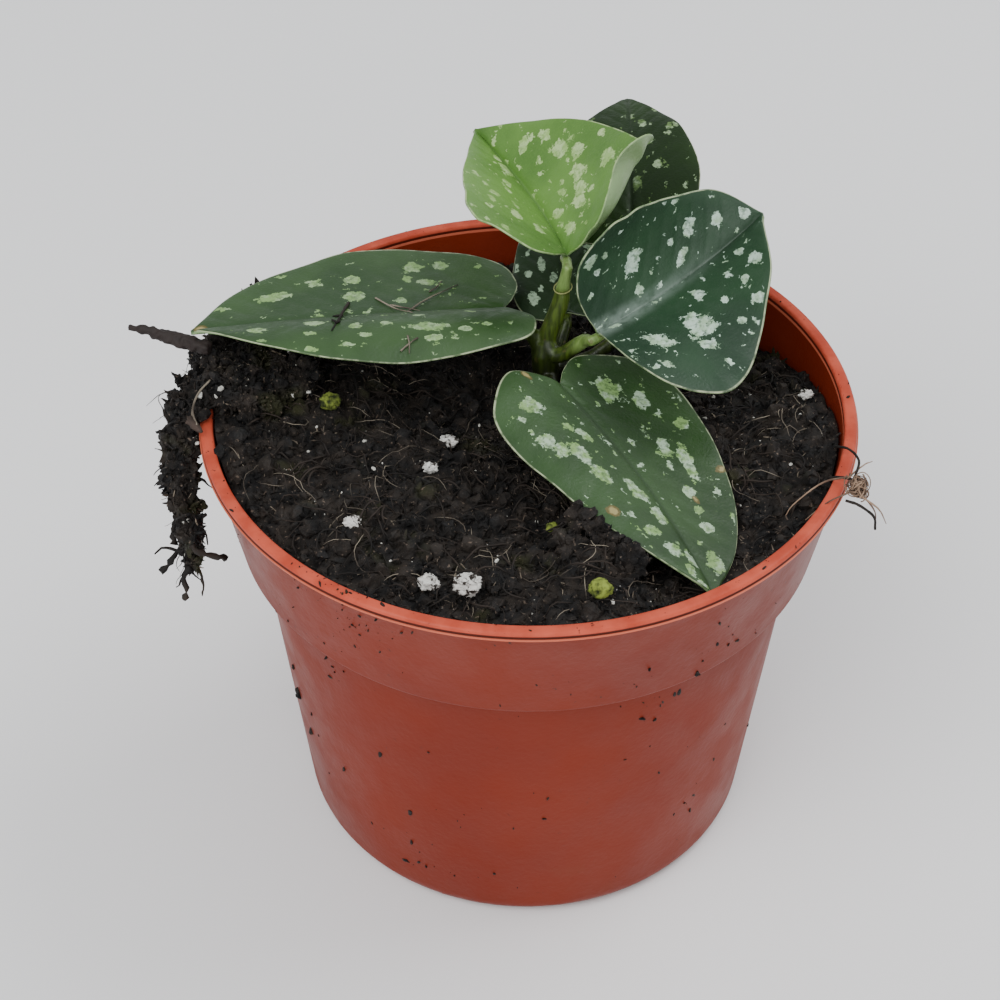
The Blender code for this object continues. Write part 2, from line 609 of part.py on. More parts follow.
def make_tuft():
    """A knot of dry roots that lies on the lip, with a few root ends."""
    parts = []
    for k, (x, y, z, radius) in enumerate(TUFT):
        size = (radius, radius * 0.8, radius * 0.75)
        parts.append(lump(f"knot_{k}", (x, y, z), size, 20.0 + k, "dry_root", rough=0.2))
    for k, knots in enumerate(ROOTS):
        parts.append(tube(f"root_{k}", catmull(knots, 6), np.linspace(0.8, 0.4, 6), 6, "dry_root"))
    return fuse("root_tuft", parts, "dry_root")


def make_dry_strip():
    line = catmull(DRY_STRIP, 10)
    radii = np.interp(np.linspace(0, 1, 10), np.linspace(0, 1, len(DRY_STRIP_RADII)), DRY_STRIP_RADII)
    return tube("dry_sheath", line, radii, 8, "dry_sheath")


clear_scene()
pot_body = make_pot()
soil_plug = make_soil()
make_stem()
for leaf_name, leaf_shape in LEAVES.items():
    make_leaf(leaf_name, leaf_shape)
lower_onto(make_tuft(), pot_body)
lower_onto(make_dry_strip(), make_spill())
make_grains(soil_plug)
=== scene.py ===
"""Looks of the satin pothos in its nursery pot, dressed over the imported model. Sizes are in millimetres."""

import math
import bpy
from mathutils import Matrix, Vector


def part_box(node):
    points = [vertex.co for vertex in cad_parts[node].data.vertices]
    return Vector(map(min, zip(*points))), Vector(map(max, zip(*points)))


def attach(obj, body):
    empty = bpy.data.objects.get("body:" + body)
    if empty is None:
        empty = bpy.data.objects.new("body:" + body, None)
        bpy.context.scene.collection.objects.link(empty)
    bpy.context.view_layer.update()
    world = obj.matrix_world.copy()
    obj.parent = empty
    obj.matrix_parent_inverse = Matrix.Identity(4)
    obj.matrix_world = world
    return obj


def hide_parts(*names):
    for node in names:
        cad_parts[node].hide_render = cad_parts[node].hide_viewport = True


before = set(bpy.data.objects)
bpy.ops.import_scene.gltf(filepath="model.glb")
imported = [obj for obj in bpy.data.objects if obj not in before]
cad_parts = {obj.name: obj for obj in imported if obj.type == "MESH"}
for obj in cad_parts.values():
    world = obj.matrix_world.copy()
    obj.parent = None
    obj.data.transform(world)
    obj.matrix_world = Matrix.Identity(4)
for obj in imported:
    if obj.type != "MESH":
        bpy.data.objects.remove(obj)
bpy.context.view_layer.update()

from types import SimpleNamespace

import bmesh
import bpy
import numpy as np
from mathutils import Vector, noise
from mathutils.bvhtree import BVHTree

MM = 0.001


# Pot: a thin round nursery pot, moulded in one piece from terracotta-coloured polypropylene. A collar steps
# out below a folded lip. The lip's colour has a painted highlight along its outer edge, a painted shadow line
# in the small groove above it and painted light on its top face.
def place_object(name, data):
    """An object in the scene that holds this data."""
    made = bpy.data.objects.new(name, data)
    bpy.context.scene.collection.objects.link(made)
    return made


def object_of(work, name, *finish):
    """An object in the scene made from a bmesh, which is freed."""
    mesh = bpy.data.meshes.new(name)
    work.to_mesh(mesh)
    work.free()
    for material in finish:
        mesh.materials.append(material)
    return place_object(name, mesh)


def polar(radius, angle, height=0.0):
    """A point from its distance and angle round the pot's axis and its height."""
    return radius * math.cos(angle), radius * math.sin(angle), height


def build_mesh(name, points_mm, faces, material):
    """A smooth mesh object with its place in its mesh."""
    mesh = bpy.data.meshes.new(name)
    mesh.from_pydata((np.asarray(points_mm, float) * MM).tolist(), [], faces)
    mesh.materials.append(material)
    mesh.shade_smooth()
    return place_object(name, mesh)


def mark_points(obj, label, values):
    """Gives every point of a mesh a value that shaders and geometry nodes can read."""
    field = obj.data.attributes.new(label, "FLOAT", "POINT")
    field.data.foreach_set("value", np.asarray(values, np.float32))


def face_outwards(obj):
    """Turns every face of a closed mesh to point out of it."""
    work = bmesh.new()
    work.from_mesh(obj.data)
    bmesh.ops.recalc_face_normals(work, faces=work.faces)
    work.to_mesh(obj.data)
    work.free()
    return obj


def dress(obj, slot, *nodes):
    """The piece rides on the plant and stands for those solids. The slot is not used."""
    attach(obj, "root")
    if nodes:
        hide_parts(*nodes)
    return obj


def closed_piece(name, shape, finish, slot, *nodes):
    """A finished piece from the points and faces of a closed mesh."""
    return dress(face_outwards(build_mesh(name, *shape, finish)), slot, *nodes)


def start_material(name, roughness, specular=0.5):
    """A material with its shader and the place of the point that is shaded."""
    material = bpy.data.materials.new(name)
    material.use_nodes = True
    tree = material.node_tree
    shader = tree.nodes["Principled BSDF"]
    shader.inputs["Roughness"].default_value = roughness
    shader.inputs["Specular IOR Level"].default_value = specular
    return material, shader, wire(tree, "ShaderNodeTexCoord").outputs["Object"]


def wire(tree, kind, inputs=None, **settings):
    """Adds a shader node. An input takes a value or another node's socket."""
    made = tree.nodes.new(kind)
    for key, value in settings.items():
        setattr(made, key, value)
    for key, value in (inputs or {}).items():
        socket = made.inputs[key]
        if isinstance(value, bpy.types.NodeSocket):
            tree.links.new(value, socket)
        else:
            socket.default_value = value
    return made


def grain(vector, scale, detail=3.0, rough=0.55):
    """Noise between 0 and 1."""
    inputs = {"Vector": vector, "Scale": scale, "Detail": detail, "Roughness": rough}
    return wire(vector.id_data, "ShaderNodeTexNoise", inputs).outputs["Fac"]


def step(value, low, high, start=0.0, end=1.0):
    """Maps a range of values smoothly onto another."""
    limits = {"Value": value, "From Min": low, "From Max": high, "To Min": start, "To Max": end}
    return wire(value.id_data, "ShaderNodeMapRange", limits, interpolation_type="SMOOTHSTEP").outputs["Result"]


def step_mm(value, ends):
    """A share that rises from 0 to 1 between two places in millimetres."""
    return step(value, ends[0] * MM, ends[1] * MM)


def blend(share, first, second):
    """Colours mixed by a share."""
    return wire(share.id_data, "ShaderNodeMix", {0: share, 6: first, 7: second}, data_type="RGBA").outputs[2]


def maths(operation, first, second=0.0):
    return wire(first.id_data, "ShaderNodeMath", {0: first, 1: second}, operation=operation).outputs[0]


def times(first, second):
    return maths("MULTIPLY", first, second)


def mottle(where, scale, detail, first, second, low=0.35, high=0.65):
    """Two colours in soft patches: noise under low gives the first and over high the second."""
    return blend(step(grain(where, scale, detail), low, high), first, second)


def feed(shader, label, value):
    shader.id_data.links.new(value, shader.inputs[label])


def bump(shader, strength, distance, height):
    """Adds relief to the shader, on top of any that it has."""
    inputs = {"Strength": strength, "Distance": distance, "Height": height}
    normal = shader.inputs["Normal"]
    if normal.is_linked:
        inputs["Normal"] = normal.links[0].from_socket
    feed(shader, "Normal", wire(shader.id_data, "ShaderNodeBump", inputs).outputs[0])


def rgb(*screen):
    """A colour given as it looks on a screen, red, green and blue from 0 to 255, made linear."""
    shares = [value / 255 for value in screen]
    return (*(s / 12.92 if s <= 10 / 255 else ((s + 0.055) / 1.055) ** 2.4 for s in shares), 1.0)


def plastic_finish():
    material, shader, where = start_material("pot_plastic", 0.45, 0.18)
    height = wire(where.id_data, "ShaderNodeSeparateXYZ", {0: where}).outputs["Z"]
    base = mottle(where, 22.0, 3.0, rgb(108, 31, 11), rgb(118, 37, 14), 0.3, 0.7)
    lit_coral = mottle(where, 140.0, 4.0, rgb(168, 64, 44), rgb(190, 82, 60))
    # Painted light on the lip: a highlight band on its outer edge, a painted shadow line in the groove above
    # it, and the top face painted a lighter coral where light falls on it.
    for ends, colour in ((LIP_HIGHLIGHT, rgb(196, 98, 72)), (LIP_SHADOW_LINE, rgb(74, 22, 10)), (LIT_LIP_TOP, lit_coral)):
        base = blend(step_mm(height, ends), base, colour)
    dust = step(grain(where, 60.0, 6.0, 0.7), 0.60, 0.74)
    base = blend(times(dust, 0.22), base, rgb(112, 58, 38))
    stained = step(grain(where, 34.0, 2.0), 0.55, 0.62)
    stains = times(step(grain(where, 230.0, 2.0, 0.6), 0.70, 0.74), stained)
    base = blend(times(stains, 0.75), base, rgb(74, 22, 12))
    dirty = step(grain(where, 70.0, 2.0), 0.50, 0.60)
    dirty = times(dirty, step(height, 0.050, 0.088, 0.35, 1.0))
    specks = times(step(grain(where, 760.0, 4.0, 0.6), 0.665, 0.70), dirty)
    base = blend(times(specks, 0.9), base, rgb(34, 22, 17))
    feed(shader, "Base Color", base)
    rough = step(grain(where, 90.0, 4.0), 0.3, 0.7, 0.38, 0.54)
    feed(shader, "Roughness", rough)
    bump(shader, 0.18, 0.0004, grain(where, 900.0, 2.0))
    bump(shader, 0.1, 0.002, grain(where, 18.0, 1.0))
    return material


POT_HEIGHT = 93.0
LIP_RADIUS = 60.0
LIP_HEIGHT = 1.9
LIP_WIDTH = 2.7
COLLAR_TOP_RADIUS = 58.7
COLLAR_FOOT_RADIUS = 54.7
COLLAR_HEIGHT = 23.5
STEP_HEIGHT = 3.0
BODY_TOP_RADIUS = 51.0
BODY_FOOT_RADIUS = 44.7
FOOT_ROUNDING = 4.0
FOOT_RING_INNER = 36.0
BOSS_RADIUS = 11.0
FLOOR_RAISE = 2.0
WALL = 1.2
FLOOR = 1.5
DRAIN_HOLES = 6
DRAIN_RADIUS = 4.0
DRAIN_CIRCLE = 25.0
GAP = 0.35
COLLAR_FOOT = POT_HEIGHT - COLLAR_HEIGHT
STEP_FOOT = COLLAR_FOOT - STEP_HEIGHT
LIP_FOOT = POT_HEIGHT - LIP_HEIGHT
FLOOR_TOP = FLOOR_RAISE + FLOOR
# Heights of the lip's painted highlight, its painted shadow line and the painted light on its top face.
LIP_HIGHLIGHT = (LIP_FOOT, LIP_FOOT + 0.2)
LIP_SHADOW_LINE = (LIP_FOOT + 0.6, LIP_FOOT + 0.7)
LIT_LIP_TOP = (LIP_FOOT + 1.1, LIP_FOOT + 1.3)
ROD_DEPTH = 20.0
SHARP_ANGLE = 38
POT_SEGMENTS = 180


def wall_radius(height):
    """The pot's inner radius at a height above its floor."""
    heights = (FOOT_ROUNDING, STEP_FOOT, COLLAR_FOOT, POT_HEIGHT)
    radii = (BODY_FOOT_RADIUS, BODY_TOP_RADIUS, COLLAR_FOOT_RADIUS, COLLAR_TOP_RADIUS)
    return float(np.interp(height, heights, radii)) - WALL


def arc(centre, radius, start, end, count):
    angles = np.radians(np.linspace(start, end, count))
    return [(centre[0] + radius * math.cos(a), centre[1] + radius * math.sin(a)) for a in angles]


def pot_profile():
    """Half of the pot's section, from the middle of its underside over the lip to the middle of its floor."""
    inner_foot = BODY_FOOT_RADIUS - WALL
    line = [(0.0, 0.0), (BOSS_RADIUS, 0.0), (BOSS_RADIUS + 1.5, FLOOR_RAISE)]
    line += [(FOOT_RING_INNER - 1.2, FLOOR_RAISE), (FOOT_RING_INNER, 0.0)]
    line += arc((BODY_FOOT_RADIUS - FOOT_ROUNDING, FOOT_ROUNDING), FOOT_ROUNDING, -90, 0, 9)
    line += [(BODY_TOP_RADIUS, STEP_FOOT)]
    line += arc((BODY_TOP_RADIUS + 1.0, STEP_FOOT + 0.1), 1.0, 180, 115, 4)
    line += arc((COLLAR_FOOT_RADIUS - 1.0, COLLAR_FOOT), 1.0, -60, 0, 4)
    line += [(COLLAR_TOP_RADIUS, LIP_FOOT - 0.05), (COLLAR_TOP_RADIUS + 0.1, LIP_FOOT + 0.15)]
    line += [(LIP_RADIUS - 0.35, LIP_FOOT + 0.12), (LIP_RADIUS, LIP_FOOT + 0.3)]
    line += [(LIP_RADIUS + 0.05, LIP_FOOT + 0.55), (LIP_RADIUS - 0.25, LIP_FOOT + 0.7)]
    line += arc((LIP_RADIUS - 0.9, POT_HEIGHT - 0.7), 0.7, 0, 90, 5)
    line += arc((LIP_RADIUS - LIP_WIDTH + 0.7, POT_HEIGHT - 0.55), 0.55, 90, 180, 4)
    line += [(wall_radius(LIP_FOOT), LIP_FOOT - 1.0), (wall_radius(COLLAR_FOOT), COLLAR_FOOT)]
    line += [(wall_radius(STEP_FOOT), STEP_FOOT), (inner_foot, FOOT_ROUNDING + 1.5)]
    return line + [(inner_foot - 2.0, FLOOR_TOP), (0.0, FLOOR_TOP)]


def turned(profile, segments):
    """Points and faces of a profile of (radius, height) turned about Z."""
    points, faces, rings = [], [], []
    angles = 2 * math.pi * np.arange(segments) / segments
    for radius, height in profile:
        count = 1 if radius == 0.0 else segments
        rings.append([len(points) + k % count for k in range(segments)])
        points += [polar(radius, a, height) for a in angles[:count]]
    for low, high in zip(rings, rings[1:]):
        for k in range(segments):
            corners = (low[k], low[(k + 1) % segments], high[(k + 1) % segments], high[k])
            faces.append(tuple(dict.fromkeys(corners)))
    return points, faces


def plain_copy(obj):
    """The object's mesh as its modifiers leave it, with the modifiers removed."""
    graph = bpy.context.evaluated_depsgraph_get()
    graph.update()
    result = bpy.data.meshes.new_from_object(obj.evaluated_get(graph))
    obj.modifiers.clear()
    obj.data = result
    return obj


pot = face_outwards(build_mesh("nursery_pot", *turned(pot_profile(), POT_SEGMENTS), plastic_finish()))
rods = bmesh.new()
for k in range(DRAIN_HOLES):
    angle = 2 * math.pi * (k + 0.5) / DRAIN_HOLES
    middle = Vector(polar(DRAIN_CIRCLE, angle)) * MM
    ring = bmesh.ops.create_cone(rods, cap_ends=True, segments=32, radius1=DRAIN_RADIUS * MM,
                                 radius2=DRAIN_RADIUS * MM, depth=ROD_DEPTH * MM)
    bmesh.ops.translate(rods, verts=ring["verts"], vec=middle)
drain_rods = object_of(rods, "drain_rods")
pierce = pot.modifiers.new("drain", "BOOLEAN")
pierce.operation = "DIFFERENCE"
pierce.object = drain_rods
pierce.solver = "EXACT"
plain_copy(pot)
bpy.data.objects.remove(drain_rods, do_unlink=True)
pot.data.shade_smooth()
pot.data.set_sharp_from_angle(angle=math.radians(SHARP_ANGLE))
dress(pot, "pot_plastic", "pot")


# Leaves: heart-shaped blades about 0.8 mm thick, satin above and paler below, each lifted from its midrib.
# Silver patches lie between the side veins, and a fine pale line runs round the margin.
LEAF_THICKNESS = 0.8
ROLL_ROWS = (0.05, 0.22, 0.36, 0.60)
WIDEN_ROWS = (0.05, 0.25, 0.36, 0.64)
ROLL_INNER, WIDEN = 0.68, 0.40
ROUND_TIP = 1.4
LEAVES = {
    "leaf_left": SimpleNamespace(
        base=(-4.7, 15.8, 102.3), head=190.3, pitch=5.0, bend=4.8, roll=18.8, sweep=0.0,
        length=57.5, width=40.0, lobe=0.08, belly=0.34, tip=1.2, lean=-0.14,
        fold=(16.0, 11.0), curl=(-60.0, 8.0), rollover=0.0),
    "leaf_front": SimpleNamespace(
        base=(5.6, -0.6, 97.5), head=-50.8, pitch=-12.8, bend=-6.3, roll=-20.0, sweep=-20.0,
        length=53.2, width=40.3, lobe=0.10, belly=0.17, tip=1.1, lean=0.04,
        fold=(-2.0, 10.4), curl=(26.0, -38.0), rollover=0.0),
    "leaf_right": SimpleNamespace(
        base=(12.7, 9.0, 102.1), head=40.8, pitch=-0.6, bend=-48.3, roll=16.5, sweep=-28.0,
        length=39.0, width=48.7, lobe=0.06, belly=0.29, tip=1.52, lean=-0.14,
        fold=(36.8, 28.5), curl=(59.0, -28.6), rollover=0.0),
    "leaf_top": SimpleNamespace(
        base=(6.9, 17.4, 113.6), head=100.9, pitch=-11.0, bend=-20.5, roll=-0.5, sweep=21.5,
        length=46.7, width=44.1, lobe=0.14, belly=0.05, tip=0.96, lean=-0.09,
        fold=(31.5, 44.0), curl=(0.0, 4.0), rollover=190.0),
    "leaf_back": SimpleNamespace(
        base=(19.6, 32.8, 110.0), head=88.7, pitch=18.4, bend=33.2, roll=-5.8, sweep=0.0,
        length=42.4, width=29.4, lobe=0.12, belly=0.25, tip=0.82, lean=0.10,
        fold=(4.8, 6.9), curl=(-11.0, -11.0), rollover=0.0),
    "leaf_inner": SimpleNamespace(
        base=(7.4, 23.8, 95.8), head=92.0, pitch=12.4, bend=10.7, roll=-3.7, sweep=6.4,
        length=32.2, width=22.8, lobe=0.07, belly=0.21, tip=1.05, lean=-0.13,
        fold=(6.4, 8.0), curl=(-13.4, -10.0), rollover=0.0),
}
BLADE_ROWS = 110
BLADE_COLUMNS = np.concatenate([np.linspace(0, 0.95, 30), (0.975, 0.99, 1.0)])
VEIN_SPACING = 0.105
VEIN_SLANT = 0.55
LEAF_RIM = rgb(176, 186, 150)


def catmull(points, count):
    """A smooth curve through the points, sampled evenly in its parameter."""
    knots = np.array(points, float)
    knots = np.vstack([2 * knots[0] - knots[1], knots, 2 * knots[-1] - knots[-2]])
    spans = len(knots) - 3
    at = np.linspace(0, spans, count)
    index = np.minimum(at.astype(int), spans - 1)
    t = (at - index)[:, None]
    p0, p1, p2, p3 = (knots[index + k] for k in range(4))
    square, cube = 2 * p0 - 5 * p1 + 4 * p2 - p3, 3 * p1 - p0 - 3 * p2 + p3
    return 0.5 * (2 * p1 + (p2 - p0) * t + square * t**2 + cube * t**3)


def heart_outline(leaf, count):
    """Half of a heart-shaped leaf, from the notch round a lobe to the tip: along and across, as shares."""
    lobe, belly = leaf.lobe, leaf.belly
    knots = [(0, 0), (-0.62 * lobe, 0.20), (-lobe, 0.46), (0.02 - 0.55 * lobe, 0.77), (belly - 0.1, 0.975),
             (belly + 0.1, 0.985), (0.5 + 0.5 * belly, 0.66 + 0.1 * leaf.tip),
             (0.79 + 0.2 * belly, 0.04 + 0.36 * leaf.tip)]
    if leaf.tip > ROUND_TIP:
        knots.append((0.94, 0.26 * leaf.tip))
    return catmull(knots + [(1, 0)], count)


def midrib_frames(leaf, shares):
    """Point, side vector and upward normal of the midrib at shares of its length."""
    angles = (leaf.head, leaf.pitch, leaf.bend, leaf.roll, leaf.sweep)
    head, pitch, bend, roll, sweep = (math.radians(angle) for angle in angles)
    table = np.linspace(-0.3, 1.1, 120)
    ahead = np.clip(table, 0, None)
    rise, turn = pitch - bend * ahead, head + sweep * ahead
    tangent = np.stack([np.cos(rise) * np.cos(turn), np.cos(rise) * np.sin(turn), np.sin(rise)], -1)
    line = np.cumsum(tangent, axis=0) * (table[1] - table[0]) * leaf.length
    level = np.stack([-np.sin(turn), np.cos(turn), 0 * turn], -1)
    upright = np.cross(tangent, level)
    side = level * math.cos(roll) + upright * math.sin(roll)
    normal = upright * math.cos(roll) - level * math.sin(roll)

    def read(values):
        return np.stack([np.interp(shares, table, values[:, k]) for k in range(3)], -1)

    start = np.array([np.interp(0.0, table, line[:, k]) for k in range(3)])
    return read(line) - start + np.array(leaf.base), read(side), read(normal)


def plateau(rows, ends):
    """Rises from 0 to 1 and falls back, at shares of the way from the notch to the tip."""
    return np.interp(rows, ends, (0.0, 1.0, 1.0, 0.0))


def blade_points(leaf, along, across, edge, rolled, half):
    """Points of the blade at a distance along it (mm) and a share across."""
    centre, side, normal = midrib_frames(leaf, along / leaf.length)
    left = half > 0
    reach = leaf.width / 2 * (1 + half * leaf.lean)
    fold, curl = math.radians(leaf.fold[0 if left else 1]), math.radians(leaf.curl[0 if left else 1])
    steps = 24
    out, up = np.zeros_like(across), np.zeros_like(across)
    for k in range(steps):
        t = across * (k + 0.5) / steps
        past = np.clip(t / np.maximum(edge, 1e-9) - ROLL_INNER, 0, 1) / (1 - ROLL_INNER)
        angle = fold + curl * t + rolled * past
        out += np.cos(angle) * across / steps * reach
        up += np.sin(angle) * across / steps * reach
    return centre + half * out[..., None] * side + up[..., None] * normal


def blade_side(leaf, half, rows, columns):
    """Half of the blade as a grid of points, with distances along and across and the share to the margin."""
    outline = heart_outline(leaf, rows)
    middle = np.linspace(0, 1, rows)
    q = np.array(columns)[None, :]
    along = (middle[:, None] * (1 - q) + outline[:, :1] * q) * leaf.length
    rolls = half < 0 and leaf.rollover > 0
    wider = 1 + WIDEN * rolls * plateau(middle, WIDEN_ROWS)[:, None]
    edge = np.repeat(outline[:, 1:] * wider, len(columns), axis=1)
    rolled = np.radians(leaf.rollover) * rolls * plateau(middle, ROLL_ROWS)[:, None]
    grid = blade_points(leaf, along, edge * q, edge, rolled, half)
    return grid, along, edge * q * half, np.repeat(q, rows, axis=0)


def grid_normals(grid):
    normals = np.cross(np.gradient(grid, axis=0), np.gradient(grid, axis=1))
    return normals / np.maximum(np.linalg.norm(normals, axis=-1, keepdims=True), 1e-12)


def relief(leaf, along, across, share, seed):
    """Height of the upper face: a sunk midrib and side veins and a faintly wavy margin."""
    aside = np.abs(across)
    stagger = (0.02 if seed % 2 else 0.0) * np.sign(across)
    vein = along / leaf.length - VEIN_SLANT * aside + 0.18 * aside**2 + stagger
    ridge = np.cos(2 * np.pi * vein / VEIN_SPACING)
    fade = np.clip(share / 0.15, 0, 1) * np.clip((1 - share) / 0.3, 0, 1)
    height = -0.10 * np.clip(ridge, 0.2, 1) * fade - 0.22 * np.exp(-((aside / 0.035) ** 2))
    height += 0.06 * np.exp(-(((aside - 0.09) / 0.05) ** 2))
    ripple = np.sin(along / leaf.length * 17 + seed) + 0.6 * np.sin(along / leaf.length * 29 + 2.1 * seed)
    return height + 0.16 * ripple * share**3 * np.clip((1.02 - along / leaf.length) * 4, 0, 1)


def patch_field(leaf, along, across, patches, slant):
    """How deep each point lies in a patch: over 0 inside one. Patches are (along, across, long, wide)."""
    field = np.full(along.shape, -1.0)
    for middle, aside, long_mm, wide_mm in patches:
        turn = math.radians(slant) * (1 if aside > 0 else -1)
        du = along - middle * leaf.length
        dv = (across - aside) * leaf.width / 2
        lengthways = du * math.cos(turn) + dv * math.sin(turn)
        sideways = dv * math.cos(turn) - du * math.sin(turn)
        reach = np.sqrt((lengthways / (long_mm / 2)) ** 2 + (sideways / (wide_mm / 2)) ** 2)
        field = np.maximum(field, 1.0 - reach)
    return field


def make_blade(name, leaf, finish, seed):
    """A closed blade of two skins joined round a thin margin."""
    rows, columns = BLADE_ROWS, BLADE_COLUMNS
    _, _, upward = midrib_frames(leaf, np.array([0.0, 1.0]))
    points, normals, lifts, marks, index = [], [], [], [], {}
    last, wide = rows - 1, len(columns)
    for half in (1, -1):
        grid, along, across, share = blade_side(leaf, half, rows, columns)
        facing = grid_normals(grid) * half
        height = relief(leaf, along, across, share, seed)
        depth = patch_field(leaf, along, across, PATCHES[name], LEAF_LOOKS[name]["slant"])
        harm = patch_field(leaf, along, across, BLEMISHES.get(name, ()), 0.0)
        thick = LEAF_THICKNESS * (1 - 0.65 * share**10)
        for i in range(rows):
            for j in range(wide):
                if j == 0 and half < 0:
                    index[(half, i, j)] = index[(1, i, j)]
                    continue
                if i in (0, last) and j > 0:
                    index[(half, i, j)] = index[(1, i, 0)]
                    continue
                index[(half, i, j)] = len(points)
                points.append(grid[i, j])
                normals.append(facing[min(max(i, 1), last - 1), max(j, 1)])
                lifts.append((height[i, j], thick[i, j]))
                aside = across[i, j] * leaf.width / 2
                marks.append((along[i, j] * MM, aside * MM, share[i, j], depth[i, j], harm[i, j]))
    points, normals, lifts = np.array(points), np.array(normals), np.array(lifts)
    sign = 1.0 if (normals * upward[0]).sum(-1).mean() > 0 else -1.0
    upper = points + normals * sign * (lifts[:, :1] + lifts[:, 1:] / 2)
    lower = points + normals * sign * (lifts[:, :1] - lifts[:, 1:] / 2)
    triangles = []
    for half in (1, -1):
        for i in range(last):
            for j in range(wide - 1):
                a, b = index[(half, i, j)], index[(half, i + 1, j)]
                c, d = index[(half, i + 1, j + 1)], index[(half, i, j + 1)]
                for corners in ((a, b, c), (a, c, d)):
                    if len(set(corners)) == 3:
                        triangles.append(corners if half > 0 else corners[::-1])
    margin = [index[(1, i, wide - 1)] for i in range(rows)]
    margin += [index[(-1, i, wide - 1)] for i in range(last - 1, 0, -1)]
    count = len(points)
    faces = triangles + [tuple(k + count for k in reversed(t)) for t in triangles]
    for a, b in zip(margin, margin[1:] + margin[:1]):
        faces += [(a, b, b + count), (a, b + count, a + count)]
    blade = face_outwards(build_mesh(name + "_blade", np.vstack([upper, lower]), faces, finish))
    columns_of_marks = [*np.vstack([marks, marks]).T, np.repeat((0.0, 1.0), count)]
    labels = ("rib_along", "rib_across", "to_margin", "patch", "blemish", "underside")
    for label, values in zip(labels, columns_of_marks):
        mark_points(blade, label, values)
    return blade


def field_of(tree, label):
    return wire(tree, "ShaderNodeAttribute", attribute_name=label).outputs["Fac"]


def flecks(flat, scale, chance_from, largest, ragged, edge=0.05):
    """Irregular spots, one to a cell at most: 1 inside a spot."""
    cells = wire(flat.id_data, "ShaderNodeTexVoronoi", {"Vector": flat, "Scale": scale}).outputs
    chance = wire(flat.id_data, "ShaderNodeSeparateColor", {0: cells["Color"]}).outputs[0]
    radius = step(chance, chance_from, 1.05, 0.0, largest)
    inside = maths("SUBTRACT", maths("ADD", radius, ragged), cells["Distance"])
    spot = step(inside, 0.0, edge)
    return times(spot, maths("GREATER_THAN", chance, chance_from))


def vector_maths(operation, first, second):
    return wire(first.id_data, "ShaderNodeVectorMath", {0: first, 1: second}, operation=operation).outputs[0]


def leaf_finish(name, dark, light, silver, pale, slant, amount, band=0.0, rim=LEAF_RIM, gloss=0.4):
    """Satin leaf: two greens, ragged silver patches, flecks, a thin pale margin and a pale underside."""
    material, shader, where = start_material(name + "_finish", 0.4, gloss)
    tree = shader.id_data
    along, across, share = (field_of(tree, label) for label in ("rib_along", "rib_across", "to_margin"))
    aside = maths("ABSOLUTE", across)
    side = maths("SIGN", across)
    tilt_in = math.sin(math.radians(slant))
    tilt_up = math.cos(math.radians(slant))
    lengthways = maths("ADD", times(along, tilt_up), times(aside, tilt_in))
    sideways = maths("SUBTRACT", times(aside, tilt_up), times(along, tilt_in))
    flat = {0: times(lengthways, 0.68), 1: sideways, 2: times(side, 0.7)}
    flat = wire(tree, "ShaderNodeCombineXYZ", flat).outputs[0]
    shake = wire(tree, "ShaderNodeTexNoise", {"Vector": where, "Scale": 620.0, "Detail": 4.0,
                                              "Roughness": 0.65}).outputs["Color"]
    shake = vector_maths("SUBTRACT", shake, (0.5, 0.5, 0.5))
    flat = vector_maths("ADD", flat, vector_maths("MULTIPLY", shake, (0.0034, 0.0034, 0.0)))
    herd = step(grain(where, 75.0, 2.0), 0.35, 0.62, -0.16, 0.05)
    medium = flecks(flat, 230.0, 1.0 - amount, 0.40, herd)
    small = flecks(flat, 470.0, 1.0 - 1.15 * amount, 0.40, herd)
    tiny = flecks(flat, 1050.0, 0.62, 0.34, 0.0, 0.08)
    ragged = maths("SUBTRACT", grain(where, 520.0, 5.0, 0.7), 0.5)
    placed = maths("ADD", field_of(tree, "patch"), times(ragged, 2.6))
    placed = step(placed, 0.10, 0.16)
    spots = maths("MAXIMUM", maths("MAXIMUM", placed, medium), maths("MAXIMUM", small, tiny))
    spots = times(spots, step(share, 0.965, 0.94))
    spots = times(spots, step(aside, 0.0003, 0.0008))
    green = mottle(where, 45.0, 3.0, dark, light)
    granules = step(grain(where, 2600.0, 1.0), 0.35, 0.7)
    green = blend(times(granules, 0.22), green, light)
    green = blend(times(step(aside, 0.0009, 0.0), 0.5), green, dark)
    if band:
        fade = times(step(aside, 0.0036, 0.0004), step(along, 0.034, 0.004))
        fade = times(fade, step(grain(where, 420.0, 3.0), 0.3, 0.6, 0.35, 1.0))
        green = blend(times(fade, band), green, rgb(140, 156, 146))
    pick = step(grain(where, 300.0, 4.0, 0.65), 0.42, 0.58)
    spot = blend(pick, silver, pale)
    worn = step(grain(where, 1150.0, 4.0, 0.65), 0.46, 0.66)
    spot = blend(times(worn, 0.62), spot, light)
    colour = blend(times(spots, 0.94), green, spot)
    harm = maths("ADD", field_of(tree, "blemish"), times(ragged, 1.2))
    scar = blend(step(harm, 0.3, 0.6), rgb(96, 84, 40), rgb(160, 146, 96))
    colour = blend(times(step(harm, 0.05, 0.2), 0.85), colour, scar)
    worn_rim = step(grain(where, 420.0), 0.35, 0.6, 0.1, 0.85)
    edge = times(step(share, 0.982, 0.994), worn_rim)
    colour = blend(edge, colour, rim)
    below = mottle(where, 60.0, 3.0, rgb(108, 136, 88), rgb(126, 152, 106))
    colour = blend(field_of(tree, "underside"), colour, below)
    feed(shader, "Base Color", colour)
    rough = step(grain(where, 500.0), 0.3, 0.7, 0.36, 0.52)
    feed(shader, "Roughness", rough)
    bump(shader, 0.35, 0.0002, grain(where, 1800.0, 2.0))
    bump(shader, 0.3, 0.0002, spots)
    return material


